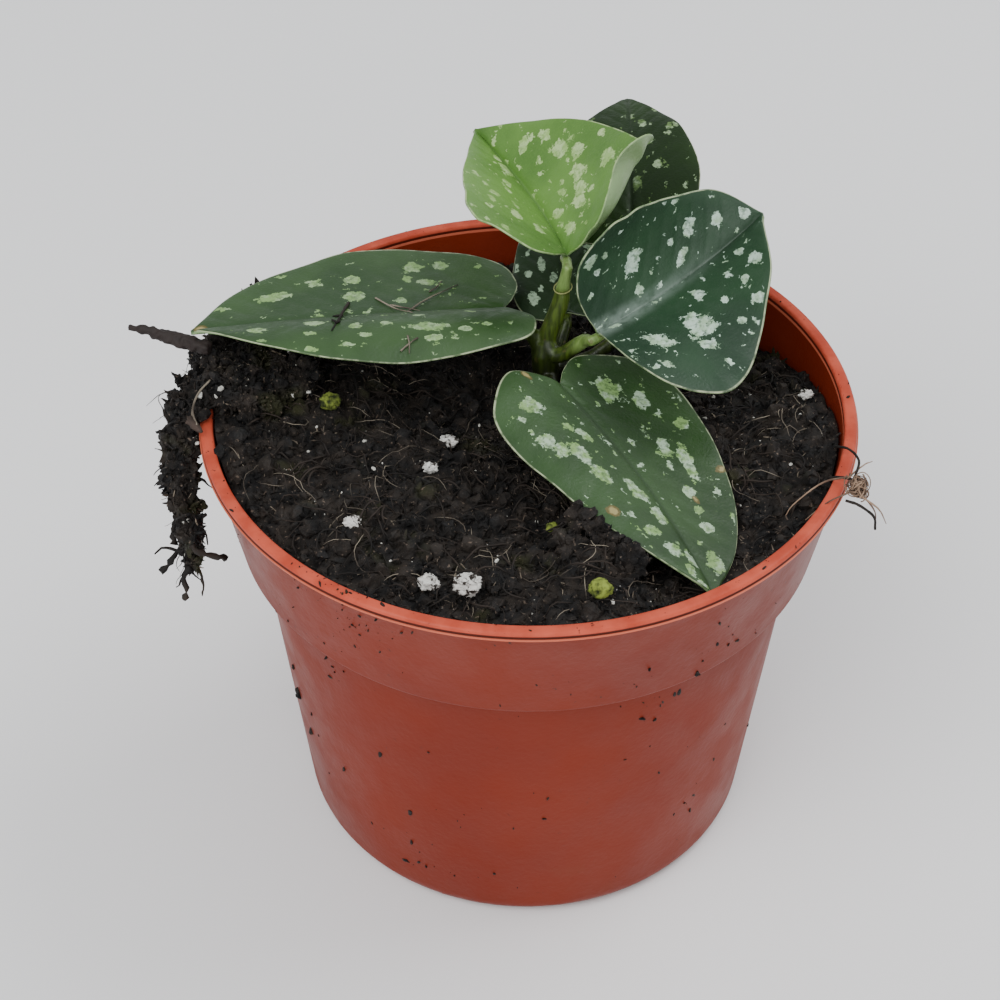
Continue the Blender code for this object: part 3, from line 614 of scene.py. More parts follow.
SILVER, PALE_GREEN = rgb(168, 192, 164), rgb(126, 160, 96)
LEAF_LOOKS = {
    "leaf_left": dict(dark=rgb(36, 62, 28), light=rgb(52, 80, 40), silver=rgb(150, 176, 132), pale=PALE_GREEN,
                      slant=-8.0, amount=0.36),
    "leaf_front": dict(dark=rgb(30, 56, 22), light=rgb(46, 76, 34), silver=SILVER, pale=PALE_GREEN,
                       slant=-12.0, amount=0.50),
    "leaf_right": dict(dark=rgb(28, 52, 34), light=rgb(42, 70, 46), silver=rgb(188, 212, 194),
                       pale=rgb(160, 188, 156), slant=45.0, amount=0.48, band=0.6),
    "leaf_top": dict(dark=rgb(74, 114, 42), light=rgb(100, 142, 62), silver=rgb(178, 204, 142),
                     pale=rgb(150, 184, 108), slant=0.0, amount=0.56, rim=rgb(176, 196, 140)),
    # Painted shade: the back leaf's darker greens stand in for the shade it sits in behind the other leaves.
    "leaf_back": dict(dark=rgb(20, 39, 11), light=rgb(31, 54, 17), silver=rgb(150, 172, 136),
                      pale=rgb(92, 118, 66), slant=10.0, amount=0.38, gloss=0.15),
    "leaf_inner": dict(dark=rgb(24, 42, 22), light=rgb(36, 56, 32), silver=SILVER, pale=SILVER,
                       slant=0.0, amount=0.34),
}
PATCHES = {
    "leaf_left": (
        (0.72, -0.39, 7.5, 2.6), (0.59, -0.55, 2.8, 2.4), (0.46, -0.55, 3.8, 2.8), (0.49, 0.42, 3.2, 2.6),
        (0.47, 0.60, 2.8, 1.8), (0.27, 0.52, 7.5, 3.2), (0.15, 0.59, 2.8, 2.0), (0.08, 0.54, 2.4, 1.8),
        (0.28, -0.54, 2.4, 2.4), (0.16, -0.71, 3.2, 2.6), (0.22, -0.47, 4.8, 2.2), (0.32, -0.20, 2.8, 2.0),
        (0.62, 0.28, 3.6, 3.0), (0.64, 0.50, 2.4, 2.0), (0.26, 0.71, 4.2, 1.8), (0.40, 0.41, 2.8, 2.0)),
    "leaf_front": (
        (0.07, -0.55, 5.0, 4.2), (0.08, 0.41, 6.4, 5.4), (0.16, 0.62, 4.8, 3.8), (0.23, -0.70, 4.0, 3.4),
        (0.33, -0.48, 7.5, 3.2), (0.44, -0.43, 6.4, 3.2), (0.37, 0.45, 5.4, 3.0), (0.45, 0.55, 10.0, 2.6),
        (0.30, 0.78, 3.2, 3.0), (0.55, -0.17, 5.4, 3.6), (0.65, -0.13, 5.0, 3.2), (0.56, 0.38, 3.4, 2.6),
        (0.72, 0.30, 3.0, 2.6), (0.72, -0.32, 3.6, 3.2), (0.80, -0.21, 3.8, 3.2), (0.85, 0.17, 3.8, 2.6),
        (0.90, -0.14, 3.2, 2.2), (0.64, 0.34, 2.2, 2.0)),
    "leaf_right": (
        (0.68, 0.38, 4.8, 3.2), (0.82, 0.26, 3.4, 2.6), (0.32, 0.42, 7.0, 4.0), (0.57, 0.19, 5.0, 2.0),
        (0.39, -0.47, 8.5, 5.4), (0.34, -0.63, 5.0, 2.4), (0.16, -0.39, 6.4, 3.4), (0.86, -0.32, 3.8, 3.0),
        (0.59, -0.66, 2.2, 2.0), (0.59, -0.43, 2.2, 1.8), (0.75, -0.41, 2.0, 2.0), (0.94, 0.12, 2.8, 2.6),
        (0.08, 0.52, 2.2, 2.0), (0.29, 0.15, 3.2, 2.2)),
    "leaf_top": (
        (0.67, -0.41, 3.2, 2.8), (0.77, 0.07, 3.0, 2.8), (0.54, 0.60, 3.0, 2.8), (0.67, 0.04, 3.2, 2.4),
        (0.39, 0.52, 3.4, 2.2), (0.45, -0.54, 3.6, 3.2), (0.35, -0.45, 4.8, 3.6), (0.21, -0.31, 5.0, 3.6),
        (0.22, 0.42, 5.8, 2.8), (0.15, 0.21, 5.4, 2.4), (0.26, -0.11, 3.0, 2.2), (0.41, -0.77, 2.6, 2.0),
        (0.71, -0.20, 2.2, 2.0), (0.11, -0.13, 4.4, 2.6), (0.30, 0.62, 4.4, 2.2)),
    "leaf_back": (
        (0.66, -0.20, 3.2, 2.2), (0.61, -0.60, 2.4, 2.0), (0.22, -0.09, 4.4, 3.0), (0.33, -0.40, 3.2, 2.4),
        (0.50, 0.30, 2.8, 2.2)),
    "leaf_inner": (
        (0.39, 0.40, 4.8, 2.0), (0.26, 0.20, 3.0, 2.2), (0.10, 0.62, 3.2, 2.8), (0.31, 0.67, 2.0, 1.8)),
}
BLEMISHES = {"leaf_front": ((-0.06, -0.33, 3.4, 1.6), (0.61, -0.56, 3.4, 2.8), (0.51, 0.80, 2.0, 3.0),
                            (0.60, 0.38, 2.6, 1.2)),
             "leaf_left": ((0.97, 0.0, 3.0, 3.0),)}
blades = {}
for seed, (name, leaf) in enumerate(LEAVES.items()):
    finish = leaf_finish(name, **LEAF_LOOKS[name])
    blades[name] = make_blade(name, leaf, finish, seed)
    dress(blades[name], "leaf_young" if name == "leaf_top" else "leaf_dark", name)


# Stem: a short green crown rooted in the peat, with a stalk to each leaf. Each stalk leaves an open sheath,
# and the youngest one comes out of a pale ring. They grew as one piece.
YOUNG_STALK = (106.2, 107.8)
STALK_END_OUT = (6.6, 9.8)
STALK_END_UP = (94.5, 98.0)
# Heights over which the stem's painted shade sets in, from none at the top to full at the bottom.
STEM_SHADOW_HEIGHTS = (96.0, 87.0)


def stalk_finish():
    material, shader, where = start_material("stem_green", 0.38, 0.5)
    place = wire(where.id_data, "ShaderNodeSeparateXYZ", {0: where}).outputs
    height, outward = place["Z"], place["X"]
    streak = wire(where.id_data, "ShaderNodeMapping", {0: where, 3: (1.0, 1.0, 0.12)}).outputs[0]
    low = mottle(streak, 900.0, 3.0, rgb(44, 58, 16), rgb(78, 98, 30))
    high = mottle(streak, 1200.0, 3.0, rgb(98, 126, 60), rgb(128, 154, 88))
    green = blend(step_mm(height, YOUNG_STALK), low, high)
    near_blade = times(step_mm(outward, STALK_END_OUT), step_mm(height, STALK_END_UP))
    green = blend(times(near_blade, 0.8), green, high)
    # Painted shade: below the leaves the stem darkens to near black where it goes down into shadow over the
    # peat.
    green = blend(step_mm(height, STEM_SHADOW_HEIGHTS), green, rgb(20, 22, 10))
    marks = times(step(grain(where, 800.0, 3.0), 0.62, 0.7), 0.6)
    feed(shader, "Base Color", blend(marks, green, rgb(92, 88, 48)))
    bump(shader, 0.3, 0.0003, grain(streak, 1500.0))
    return material


def merged_copy(node, name, material, voxel_mm, relax):
    """A copy of a solid with its facets smoothed by a fine remesh."""
    work = bmesh.new()
    work.from_mesh(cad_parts[node].data)
    bmesh.ops.remove_doubles(work, verts=work.verts, dist=1e-6)
    made = object_of(work, name, material)
    skin = made.modifiers.new("skin", "REMESH")
    skin.mode = "VOXEL"
    skin.voxel_size = voxel_mm * MM
    skin.use_smooth_shade = True
    soften = made.modifiers.new("soften", "SMOOTH")
    soften.factor = 0.5
    soften.iterations = relax
    return plain_copy(made)


def tube_mesh(line, radii, sides, roughen=0.0, seed=0.0):
    """Points and faces of a closed bar along a line, with a radius at each point."""
    line = np.asarray(line, float)
    tangents = np.gradient(line, axis=0)
    tangents /= np.maximum(np.linalg.norm(tangents, axis=1)[:, None], 1e-9)
    across = np.cross(tangents[0], (0.3, 1.0, 0.2))
    points, faces = [], []
    for centre, tangent, radius in zip(line, tangents, radii):
        across = across - tangent * (across @ tangent)
        across /= max(np.linalg.norm(across), 1e-9)
        other = np.cross(tangent, across)
        for k in range(sides):
            angle = 2 * math.pi * k / sides
            swell = 1 + roughen * noise.noise(Vector(centre * 1.3) + Vector((seed, k * 2.0, 0)))
            points.append(centre + radius * swell * (math.cos(angle) * across + math.sin(angle) * other))
    for ring in range(len(line) - 1):
        a, b = ring * sides, (ring + 1) * sides
        for k in range(sides):
            faces.append((a + k, a + (k + 1) % sides, b + (k + 1) % sides, b + k))
    faces.append(tuple(reversed(range(sides))))
    faces.append(tuple(range((len(line) - 1) * sides, len(line) * sides)))
    return points, faces


def join_meshes(parts):
    """One list of points and faces from several."""
    points, faces = [], []
    for some_points, some_faces in parts:
        start = len(points)
        points += list(some_points)
        faces += [tuple(k + start for k in face) for face in some_faces]
    return points, faces


dress(merged_copy("stem", "stem_and_stalks", stalk_finish(), 0.28, 6), "stem_green", "stem")

dry_edge, shader, where = start_material("dry_sheath_edge", 0.6, 0.3)
feed(shader, "Base Color", blend(grain(where, 900.0), rgb(112, 118, 62), rgb(156, 158, 106)))
RING_MIDDLE, RING_RADIUS, RING_TILT = (6.4, 16.4, 106.8), 1.65, 0.35
ring_angles = np.linspace(0, 2 * math.pi, 25)[:-1]
ring_line = [(RING_MIDDLE[0] + RING_RADIUS * math.cos(a), RING_MIDDLE[1] + RING_RADIUS * math.sin(a),
              RING_MIDDLE[2] + RING_TILT * math.cos(a - 0.8)) for a in ring_angles]
ring_line.append(ring_line[0])
closed_piece("sheath_ring", tube_mesh(ring_line, [0.13] * 25, 8, 0.3), dry_edge, "stem_green")


# Peat: dark moist potting mix that fills the pot, heaped at the left and hollow round the crown. It is crumbs
# and clods held by fine dead roots, with scattered white specks.
SOIL_LEVEL = 86.6
SOIL_FALL_BACK = 0.055
HEAP_LEVEL = POT_HEIGHT - 0.2
SOIL_BUMP = 1.5
LEAF_BED = ((8.0, -4.0), (33.0, -48.0))
LEAF_BED_DEPTH, LEAF_BED_REACH = 3.8, 11.0
SWELLS = ((8.5, (-52, 6), 25), (2.2, (-22, -24), 16), (2.6, (12, -52), 9), (4.5, (11, -41), 7),
          (2.6, (56, -4), 17), (-5.0, (40, 36), 19), (-4.0, (-5, 7), 12), (-1.6, (38, -25), 10))


def swell(x, y, middle, reach):
    """A round bump of height 1 at its middle."""
    return math.exp(-((x - middle[0]) / reach) ** 2 - ((y - middle[1]) / reach) ** 2)


def soil_height(x, y):
    """Height of the soil: it falls to the back, heaps up at the left and has a bed under the front leaf."""
    height = SOIL_LEVEL - SOIL_FALL_BACK * y
    height += sum(rise * swell(x, y, middle, reach) for rise, middle, reach in SWELLS)
    start, end = (Vector(point) for point in LEAF_BED)
    share = (Vector((x, y)) - start).dot(end - start) / (end - start).length_squared
    aside = (Vector((x, y)) - start.lerp(end, min(max(share, 0.0), 1.0))).length
    height -= LEAF_BED_DEPTH * math.exp(-((aside / LEAF_BED_REACH) ** 2))
    height += SOIL_BUMP * noise.noise(Vector((x / 9.0, y / 9.0, 3.0)))
    height += 0.6 * SOIL_BUMP * noise.noise(Vector((x / 4.0, y / 4.0, 9.0)))
    return min(height, HEAP_LEVEL)


def peat_finish():
    material, shader, where = start_material("peat", 0.85, 0.35)
    # Near-black patches are partly the peat's own dark colour and partly painted shade of the gaps between
    # crumbs.
    shade = mottle(where, 260.0, 4.0, rgb(5, 4, 4), rgb(40, 33, 27), 0.35, 0.7)
    shade = mottle(where, 90.0, 2.0, shade, rgb(38, 38, 16), 0.58, 0.70)
    # Painted glints: small pale flecks stand in for highlights on the moist peat.
    shade = mottle(where, 1400.0, 2.0, shade, rgb(104, 90, 78), 0.62, 0.76)
    feed(shader, "Base Color", shade)
    rough = step(grain(where, 300.0), 0.35, 0.65, 0.55, 0.95)
    feed(shader, "Roughness", rough)
    bump(shader, 0.9, 0.0006, grain(where, 1100.0, 5.0, 0.7))
    return material


def crumbly(x, y, z=0.0):
    """Fine height of the crumbs and clods between them."""
    coarse = noise.noise(Vector((x / 2.6, y / 2.6, z / 2.6 + 5.0)))
    fine = noise.noise(Vector((x / 1.1, y / 1.1, z / 1.1 + 11.0)))
    return 0.9 * abs(coarse) * 1.6 + 0.45 * fine - 0.4


peat = peat_finish()
SOIL_RINGS, SOIL_SPOKES = 84, 260
ground_points, ground_faces = [], []
side_line = [(BODY_FOOT_RADIUS - WALL - 3.0, FLOOR_TOP + GAP)]
side_line += [(wall_radius(z) - GAP, z) for z in (FOOT_ROUNDING + 2.5, STEP_FOOT, COLLAR_FOOT)]
spokes = 2 * math.pi * np.arange(SOIL_SPOKES) / SOIL_SPOKES
ground_points.append((0.0, 0.0, FLOOR_TOP + GAP))
for radius, height in side_line:
    ground_points += [polar(radius, a, height) for a in spokes]
for ring in range(SOIL_RINGS, 0, -1):
    for a in spokes:
        reach = (wall_radius(POT_HEIGHT - 6.0) - GAP) * ring / SOIL_RINGS
        x, y, _ = polar(reach, a)
        z = min(soil_height(x, y) + crumbly(x, y), POT_HEIGHT + 0.6)
        if ring == SOIL_RINGS:
            reach = wall_radius(z) - GAP
        ground_points.append(polar(reach, a, z))
ground_points.append((0.0, 0.0, soil_height(0.0, 0.0) + crumbly(0.0, 0.0)))
ring_count = len(side_line) + SOIL_RINGS
for k in range(SOIL_SPOKES):
    after = (k + 1) % SOIL_SPOKES
    ground_faces.append((0, 1 + after, 1 + k))
    for ring in range(ring_count - 1):
        low, high = 1 + ring * SOIL_SPOKES, 1 + (ring + 1) * SOIL_SPOKES
        ground_faces.append((low + k, low + after, high + after, high + k))
    top = 1 + (ring_count - 1) * SOIL_SPOKES
    ground_faces.append((top + k, top + after, len(ground_points) - 1))
closed_piece("peat_fill", (ground_points, ground_faces), peat, "soil", "soil")


def scatter_tree():
    """Geometry nodes that strew rough crumbs over a surface, thinned by its cover attribute."""
    tree = bpy.data.node_groups.new("strewn_crumbs", "GeometryNodeTree")
    face = tree.interface
    face.new_socket("Surface", in_out="INPUT", socket_type="NodeSocketGeometry")
    for label in ("Density", "Smallest", "Largest", "Width", "Thickness", "Roughness", "Favour small"):
        face.new_socket(label, in_out="INPUT", socket_type="NodeSocketFloat")
    for label in ("Roundness", "Seed"):
        face.new_socket(label, in_out="INPUT", socket_type="NodeSocketInt")
    face.new_socket("Finish", in_out="INPUT", socket_type="NodeSocketMaterial")
    face.new_socket("Crumbs", in_out="OUTPUT", socket_type="NodeSocketGeometry")
    source = tree.nodes.new("NodeGroupInput").outputs
    target = tree.nodes.new("NodeGroupOutput").inputs
    cover = wire(tree, "GeometryNodeInputNamedAttribute", {"Name": "cover"}, data_type="FLOAT")
    dense = times(source["Density"], cover.outputs["Attribute"])
    points = wire(tree, "GeometryNodeDistributePointsOnFaces",
                  {"Mesh": source["Surface"], "Density": dense, "Seed": source["Seed"]})
    chance = wire(tree, "FunctionNodeRandomValue", {"Seed": source["Seed"]}, data_type="FLOAT").outputs[1]
    chance = maths("POWER", chance, source["Favour small"])
    limits = {"Value": chance, "To Min": source["Smallest"], "To Max": source["Largest"]}
    size = wire(tree, "ShaderNodeMapRange", limits).outputs[0]
    turn = wire(tree, "FunctionNodeRandomValue", {"Max": (6.3, 6.3, 6.3), "Seed": source["Seed"]},
                data_type="FLOAT_VECTOR").outputs[0]
    shape = {0: size, 1: times(size, source["Width"]), 2: times(size, source["Thickness"])}
    shape = wire(tree, "ShaderNodeCombineXYZ", shape).outputs[0]
    ball = {"Radius": 1.0, "Subdivisions": source["Roundness"]}
    ball = wire(tree, "GeometryNodeMeshIcoSphere", ball).outputs[0]
    placed = {"Points": points.outputs[0], "Instance": ball, "Rotation": turn, "Scale": shape}
    placed = wire(tree, "GeometryNodeInstanceOnPoints", placed).outputs[0]
    real = wire(tree, "GeometryNodeRealizeInstances", {0: placed}).outputs[0]
    bumps = wire(tree, "ShaderNodeTexNoise", {"Scale": 900.0, "Detail": 1.0}).outputs["Color"]
    centred = vector_maths("SUBTRACT", bumps, (0.5, 0.5, 0.5))
    amount = {0: centred, "Scale": source["Roughness"]}
    amount = wire(tree, "ShaderNodeVectorMath", amount, operation="SCALE").outputs[0]
    rough = wire(tree, "GeometryNodeSetPosition", {"Geometry": real, "Offset": amount}).outputs[0]
    painted = wire(tree, "GeometryNodeSetMaterial", {"Geometry": rough, "Material": source["Finish"]})
    tree.links.new(painted.outputs[0], target[0])
    return tree


STREWN = scatter_tree()


def strew(name, surface, finish, slot, seed, per_mm2, sizes, shape=(0.8, 0.62), rough=1.0, small=2.0,
          roundness=2):
    """A piece of crumbs strewn over a surface of (points, faces, cover). Peat crumbs have flat facets."""
    points, faces, cover = surface
    made = build_mesh(name, points, faces, finish)
    mark_points(made, "cover", cover)
    strewn = made.modifiers.new("strewn", "NODES")
    strewn.node_group = STREWN
    values = {"Density": per_mm2 * 1e6, "Smallest": sizes[0] / 2 * MM, "Largest": sizes[1] / 2 * MM,
              "Width": shape[0], "Thickness": shape[1], "Roughness": rough * MM, "Favour small": small,
              "Roundness": roundness, "Seed": seed, "Finish": finish}
    for item in STREWN.interface.items_tree:
        if item.name in values and item.in_out == "INPUT":
            strewn[item.identifier] = values[item.name]
    piece = plain_copy(made)
    if slot == "soil":
        piece.data.shade_flat()
    dress(piece, slot)


graph = bpy.context.evaluated_depsgraph_get()
canopy = [BVHTree.FromObject(blades[name], graph) for name in ("leaf_front", "leaf_inner", "leaf_left")]
BELOW = 0.004
OPEN_SKY = 99.0


def room_above(point_mm):
    """Clear height above a point, up to a leaf, in millimetres."""
    start = Vector(point_mm) * MM
    start.z -= BELOW
    hits = [tree.ray_cast(start, Vector((0, 0, 1))) for tree in canopy]
    found = [hit[3] for hit in hits if hit[0]]
    return (min(found) - BELOW) / MM if found else OPEN_SKY


def two_tone(name, dark, light, scale=130.0, detail=2.0, roughness=0.75):
    """A dull finish of two colours in soft patches."""
    material, shader, where = start_material(name, roughness, 0.3)
    feed(shader, "Base Color", mottle(where, scale, detail, dark, light))
    return material


sliver_pale = two_tone("pale_sliver", rgb(70, 58, 48), rgb(140, 128, 112), 240.0, 2.0, 0.7)

top_start = 1 + len(side_line) * SOIL_SPOKES
top_points = np.array(ground_points[top_start:])
top_faces = [tuple(k - top_start for k in face) for face in ground_faces if min(face) >= top_start]
open_sky = np.array([1.0 if room_above(p) > 2.6 else 0.0 for p in top_points])
open_sky[:SOIL_SPOKES] *= 0.5
top_surface = (top_points, top_faces, open_sky)
strew("peat_clods", top_surface, peat, "soil", 11, 0.035, (2.2, 5.0), rough=2.4, small=1.6)
strew("peat_crumbs", top_surface, peat, "soil", 12, 0.15, (0.6, 2.6), rough=1.8, small=2.2)
strew("peat_slivers", top_surface, peat, "soil", 13, 0.66, (1.2, 4.8), (0.17, 0.1), 0.9, 2.2, 1)
strew("pale_slivers", top_surface, sliver_pale, "soil", 14, 0.11, (0.8, 3.2), (0.09, 0.07), 0.8, 2.4, 1)


def perlite_finish():
    material, shader, where = start_material("perlite_white", 0.9, 0.3)
    pits = step(grain(where, 800.0, 4.0, 0.65), 0.42, 0.50)
    feed(shader, "Base Color", blend(pits, rgb(40, 33, 28), rgb(206, 204, 198)))
    bump(shader, 0.8, 0.0004, grain(where, 1600.0, 4.0))
    return material


white = perlite_finish()
clean_white = two_tone("clean_white", rgb(178, 176, 168), rgb(222, 220, 212))
strew("white_specks", top_surface, clean_white, "perlite", 21, 0.025, (0.2, 1.2), (0.8, 0.62), 0.5, 3.4, 1)


# Roots in the peat: fine dry fibres, some pale and some dark. They lie on the soil or arch out of it, and they
# are thin tubes laid along wandering lines.
def wander(start, heading, length, dice, lift, stride=1.1):
    """A root's middle line over the soil: it turns a little at each stride and arches off the ground."""
    x, y = start
    count = max(4, int(length / stride))
    arch = lift * dice.uniform(0.2, 1.0)
    turn = 0.0
    line = []
    for k in range(count):
        share = k / (count - 1)
        rise = arch * math.sin(math.pi * share) + 0.25
        line.append((x, y, soil_height(x, y) + max(crumbly(x, y), 0.0) + rise))
        turn = 0.7 * turn + dice.normal(0, 0.35) * 0.5
        heading += turn
        x += stride * math.cos(heading)
        y += stride * math.sin(heading)
    return line


def clear_of_leaves(line):
    inside = all(math.hypot(p[0], p[1]) < wall_radius(p[2]) - 0.8 for p in line)
    return inside and all(room_above(p) > 1.0 for p in line)


def root_mat(name, count, lengths, thickness, finish, slot, seed, lift):
    dice = np.random.default_rng(seed)
    parts = []
    while len(parts) < count:
        reach = 55.0 * math.sqrt(dice.uniform(0, 1))
        angle = dice.uniform(0, 2 * math.pi)
        line = wander(polar(reach, angle)[:2], dice.uniform(0, 6.3), dice.uniform(*lengths), dice, lift)
        if not clear_of_leaves(line):
            continue
        thick = dice.uniform(*thickness)
        radii = thick * np.interp(np.linspace(0, 1, len(line)), (0, 0.2, 0.8, 1), (0.5, 1, 0.8, 0.25))
        parts.append(tube_mesh(line, radii, 4))
    closed_piece(name, join_meshes(parts), finish, slot)


pale_root = two_tone("pale_root", rgb(70, 62, 54), rgb(146, 136, 120))
dark_root = two_tone("dark_root", rgb(16, 13, 11), rgb(44, 36, 30))
root_mat("pale_roots", 170, (3.0, 15.0), (0.04, 0.09), pale_root, "dry_root", 31, 1.2)
root_mat("dark_roots", 700, (3.0, 12.0), (0.08, 0.24), dark_root, "soil", 32, 2.0)


# Perlite and fertiliser grains: rough white puffed lumps and mossy green pellets. They lie loose on the peat.
# Each is a ball in the box of its solid, swollen and pitted by noise.
def rough_grain(node, name, finish, slot, seed, rough):
    low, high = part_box(node)
    middle, half = (low + high) / 2, (high - low) / 2
    ball = bmesh.new()
    bmesh.ops.create_icosphere(ball, subdivisions=4, radius=1.0)
    for vert in ball.verts:
        way = vert.co.normalized()
        shift = Vector((seed * 7.0, 0, 0))
        swelling = 1 + rough * noise.noise(way * 1.6 + shift) + rough * 0.8 * noise.noise(way * 4.5 + shift)
        vert.co = middle + Vector([way[k] * half[k] * 0.96 * swelling for k in range(3)])
    made = object_of(ball, name, finish)
    made.data.shade_smooth()
    return dress(made, slot, node)


moss = two_tone("mossy_green", rgb(34, 42, 14), rgb(128, 142, 58), 700.0, 4.0, 0.85)
for k in range(1, 7):
    rough_grain(f"perlite_{k}", f"perlite_grain_{k}", white, "perlite", k, 0.42)
for k in range(1, 4):
    rough_grain(f"mossy_grain_{k}", f"mossy_pellet_{k}", moss, "mossy_grain", k + 9, 0.22)


# Spill: root-bound peat that has pushed over the lip at the left. Its clods hold together by dark roots and
# it hangs down the pot in ragged ends, with pale flecks and one pale root.
spill = merged_copy("soil_spill", "peat_spill", peat, 0.7, 2)
spill_at = np.array([vert.co / MM for vert in spill.data.vertices])
for vert in spill.data.vertices:
    p = vert.co / MM
    push = 2.0 * noise.noise(p / 2.4) + 1.1 * noise.noise(p / 1.0 + Vector((4, 0, 0))) - 0.8
    middle = Vector(spill_at[abs(spill_at[:, 2] - p.z) < 1.5].mean(axis=0))
    pull = (middle - p) * float(np.interp(p.z, (76, 91), (0.42, 0.0)))
    pull.z = 0.0
    vert.co += (vert.normal * push + pull) * MM
dress(spill, "soil", "soil_spill")
spill_points = [tuple(v.co / MM) for v in spill.data.vertices]
spill_faces = [tuple(f.vertices) for f in spill.data.polygons]
spill_surface = (spill_points, spill_faces, np.ones(len(spill_points)))
strew("spill_crumbs", spill_surface, peat, "soil", 41, 0.18, (0.8, 3.4), rough=2.2, small=1.8)
strew("spill_slivers", spill_surface, peat, "soil", 42, 0.95, (1.2, 4.2), (0.26, 0.16), 1.2, 1.6, 1)
strew("spill_pale_slivers", spill_surface, sliver_pale, "soil", 43, 0.12, (1.0, 3.6), (0.1, 0.08), 0.8, 2.0, 1)
strew("spill_flecks", spill_surface, clean_white, "perlite", 44, 0.06, (0.3, 1.6), (0.8, 0.62), 0.6, 2.6, 1)

SPILL_ROOTS = 260
DRIPS = ((-61.6, -22.4, 73.0), (-62.6, -19.4, 76.0), (-60.4, -23.4, 79.0), (-65.6, -10.4, 83.0),
         (-64.0, -16.0, 79.0))
PALE_ROOT = ((-57.6, -0.6, 98.6), (-59.6, -3.2, 97.6), (-60.4, -6.6, 96.4), (-59.4, -9.8, 95.6))
HUSK = ((-61.4, -7.0, 95.0), (-60.2, -9.0, 95.4), (-58.4, -10.8, 94.8))
HUSK_RADII = (0.2, 0.5, 0.8, 0.6, 0.85, 0.6, 0.45, 0.15)
dice = np.random.default_rng(7)
ends = []
outer = [k for k, p in enumerate(spill_points)
         if math.hypot(p[0], p[1]) > 60.5 or (p[2] > 97.0 and p[1] < 4.0)]
for k in dice.choice(outer, SPILL_ROOTS, replace=False):
    start, away = np.array(spill_points[k]), np.array(spill.data.vertices[int(k)].normal)
    way = away * 0.8 + dice.normal(0, 0.5, 3) + np.array((0, 0, -0.9 if start[2] < 92 else -0.1))
    way /= np.linalg.norm(way)
    line = [start - way * 0.8]
    stride = dice.uniform(0.5, 1.0)
    for _ in range(int(dice.integers(4, 9))):
        way = way + dice.normal(0, 0.3, 3) + np.array((0, 0, -0.2))
        way /= np.linalg.norm(way)
        line.append(line[-1] + way * stride)
    thick = dice.uniform(0.08, 0.42) if start[2] < 90 else dice.uniform(0.05, 0.2)
    ends.append(tube_mesh(line, thick * np.linspace(1.2, 0.3, len(line)), 5, 0.9, float(k)))
for foot in DRIPS:
    line = [np.array(foot)]
    way = np.array((0.0, -0.25, -1.0))
    for _ in range(9):
        way = way + dice.normal(0, 0.35, 3)
        way[2] = -1.0
        line.append(line[-1] + way * 0.55)
    ends.append(tube_mesh(line, 0.6 * dice.uniform(0.3, 1.3, len(line)), 6, 1.0, foot[0]))
closed_piece("spill_roots", join_meshes(ends), dark_root, "soil")
closed_piece("pale_spill_root", tube_mesh(catmull(PALE_ROOT, 16), [0.2] * 16, 6), pale_root, "dry_root")
husk_brown = two_tone("husk_brown", rgb(26, 20, 17), rgb(74, 60, 52))
closed_piece("husk", tube_mesh(catmull(HUSK, 8), HUSK_RADII, 10, 1.5), husk_brown, "dry_root")


# Root knot: a tangle of fine dry roots that lies on the lip at the right. Most are pale brown, and a few
# black ones loop up over the lip.
KNOT_MIDDLE = np.array((57.0, -25.6, 94.9))
KNOT_SHAPE = np.array((0.75, 1.25, 0.5))
KNOT_ROOTS = 70
dice = np.random.default_rng(17)
tangle = []
for _ in range(KNOT_ROOTS):
    way = dice.normal(0, 1, 3)
    across = np.cross(way, dice.normal(0, 1, 3))
    way, across = way / np.linalg.norm(way), across / np.linalg.norm(across)
    reach = dice.uniform(0.8, 2.5)
    arc_start, arc_length = dice.uniform(0, 6.3), dice.uniform(1.8, 4.6)
    middle = KNOT_MIDDLE + dice.normal(0, 0.5, 3)
    angles = arc_start + np.linspace(0, arc_length, 14)
    line = [middle + reach * (math.cos(a) * way + math.sin(a) * across) * KNOT_SHAPE for a in angles]
    tangle.append(tube_mesh(line, [dice.uniform(0.05, 0.17)] * 14, 5, 0.4, reach))
LOOSE_ENDS = (((55.4, -23.4, 95.2), (51.0, -24.2, 94.6), (46.0, -27.0, 92.2), (44.4, -28.8, 91.0)),
              ((57.0, -28.0, 94.9), (60.0, -30.4, 94.0), (61.4, -31.8, 91.8)),
              ((55.4, -23.6, 95.2), (58.6, -20.0, 95.0), (60.6, -17.4, 93.6)),
              ((56.0, -26.4, 94.6), (51.6, -27.8, 93.2), (47.8, -29.3, 90.4)),
              ((57.4, -27.0, 94.4), (59.8, -28.4, 91.8), (60.2, -29.4, 88.6)))
for k, points in enumerate(LOOSE_ENDS):
    tangle.append(tube_mesh(catmull(points, 14), np.linspace(0.2, 0.07, 14), 6, 0.5, float(k)))
knot_brown = two_tone("knot_brown", rgb(74, 54, 44), rgb(156, 130, 108))
closed_piece("root_knot", join_meshes(tangle), knot_brown, "dry_root", "root_tuft")
BLACK_LOOPS = (((54.4, -13.4, 93.6), (56.2, -16.2, 95.6), (57.6, -19.8, 96.2), (57.0, -22.6, 95.6),
                (55.8, -24.6, 94.6)),
               ((54.6, -28.2, 94.0), (57.0, -29.4, 93.8), (59.6, -29.6, 91.4), (60.0, -30.2, 89.0)),
               ((52.6, -21.0, 93.0), (54.6, -22.6, 94.4), (57.0, -24.4, 95.2), (58.8, -24.6, 94.6)))
loops = [tube_mesh(catmull(points, 18), [0.24] * 18, 6, 0.4, points[0][0]) for points in BLACK_LOOPS]
closed_piece("black_roots", join_meshes(loops), dark_root, "dry_root")


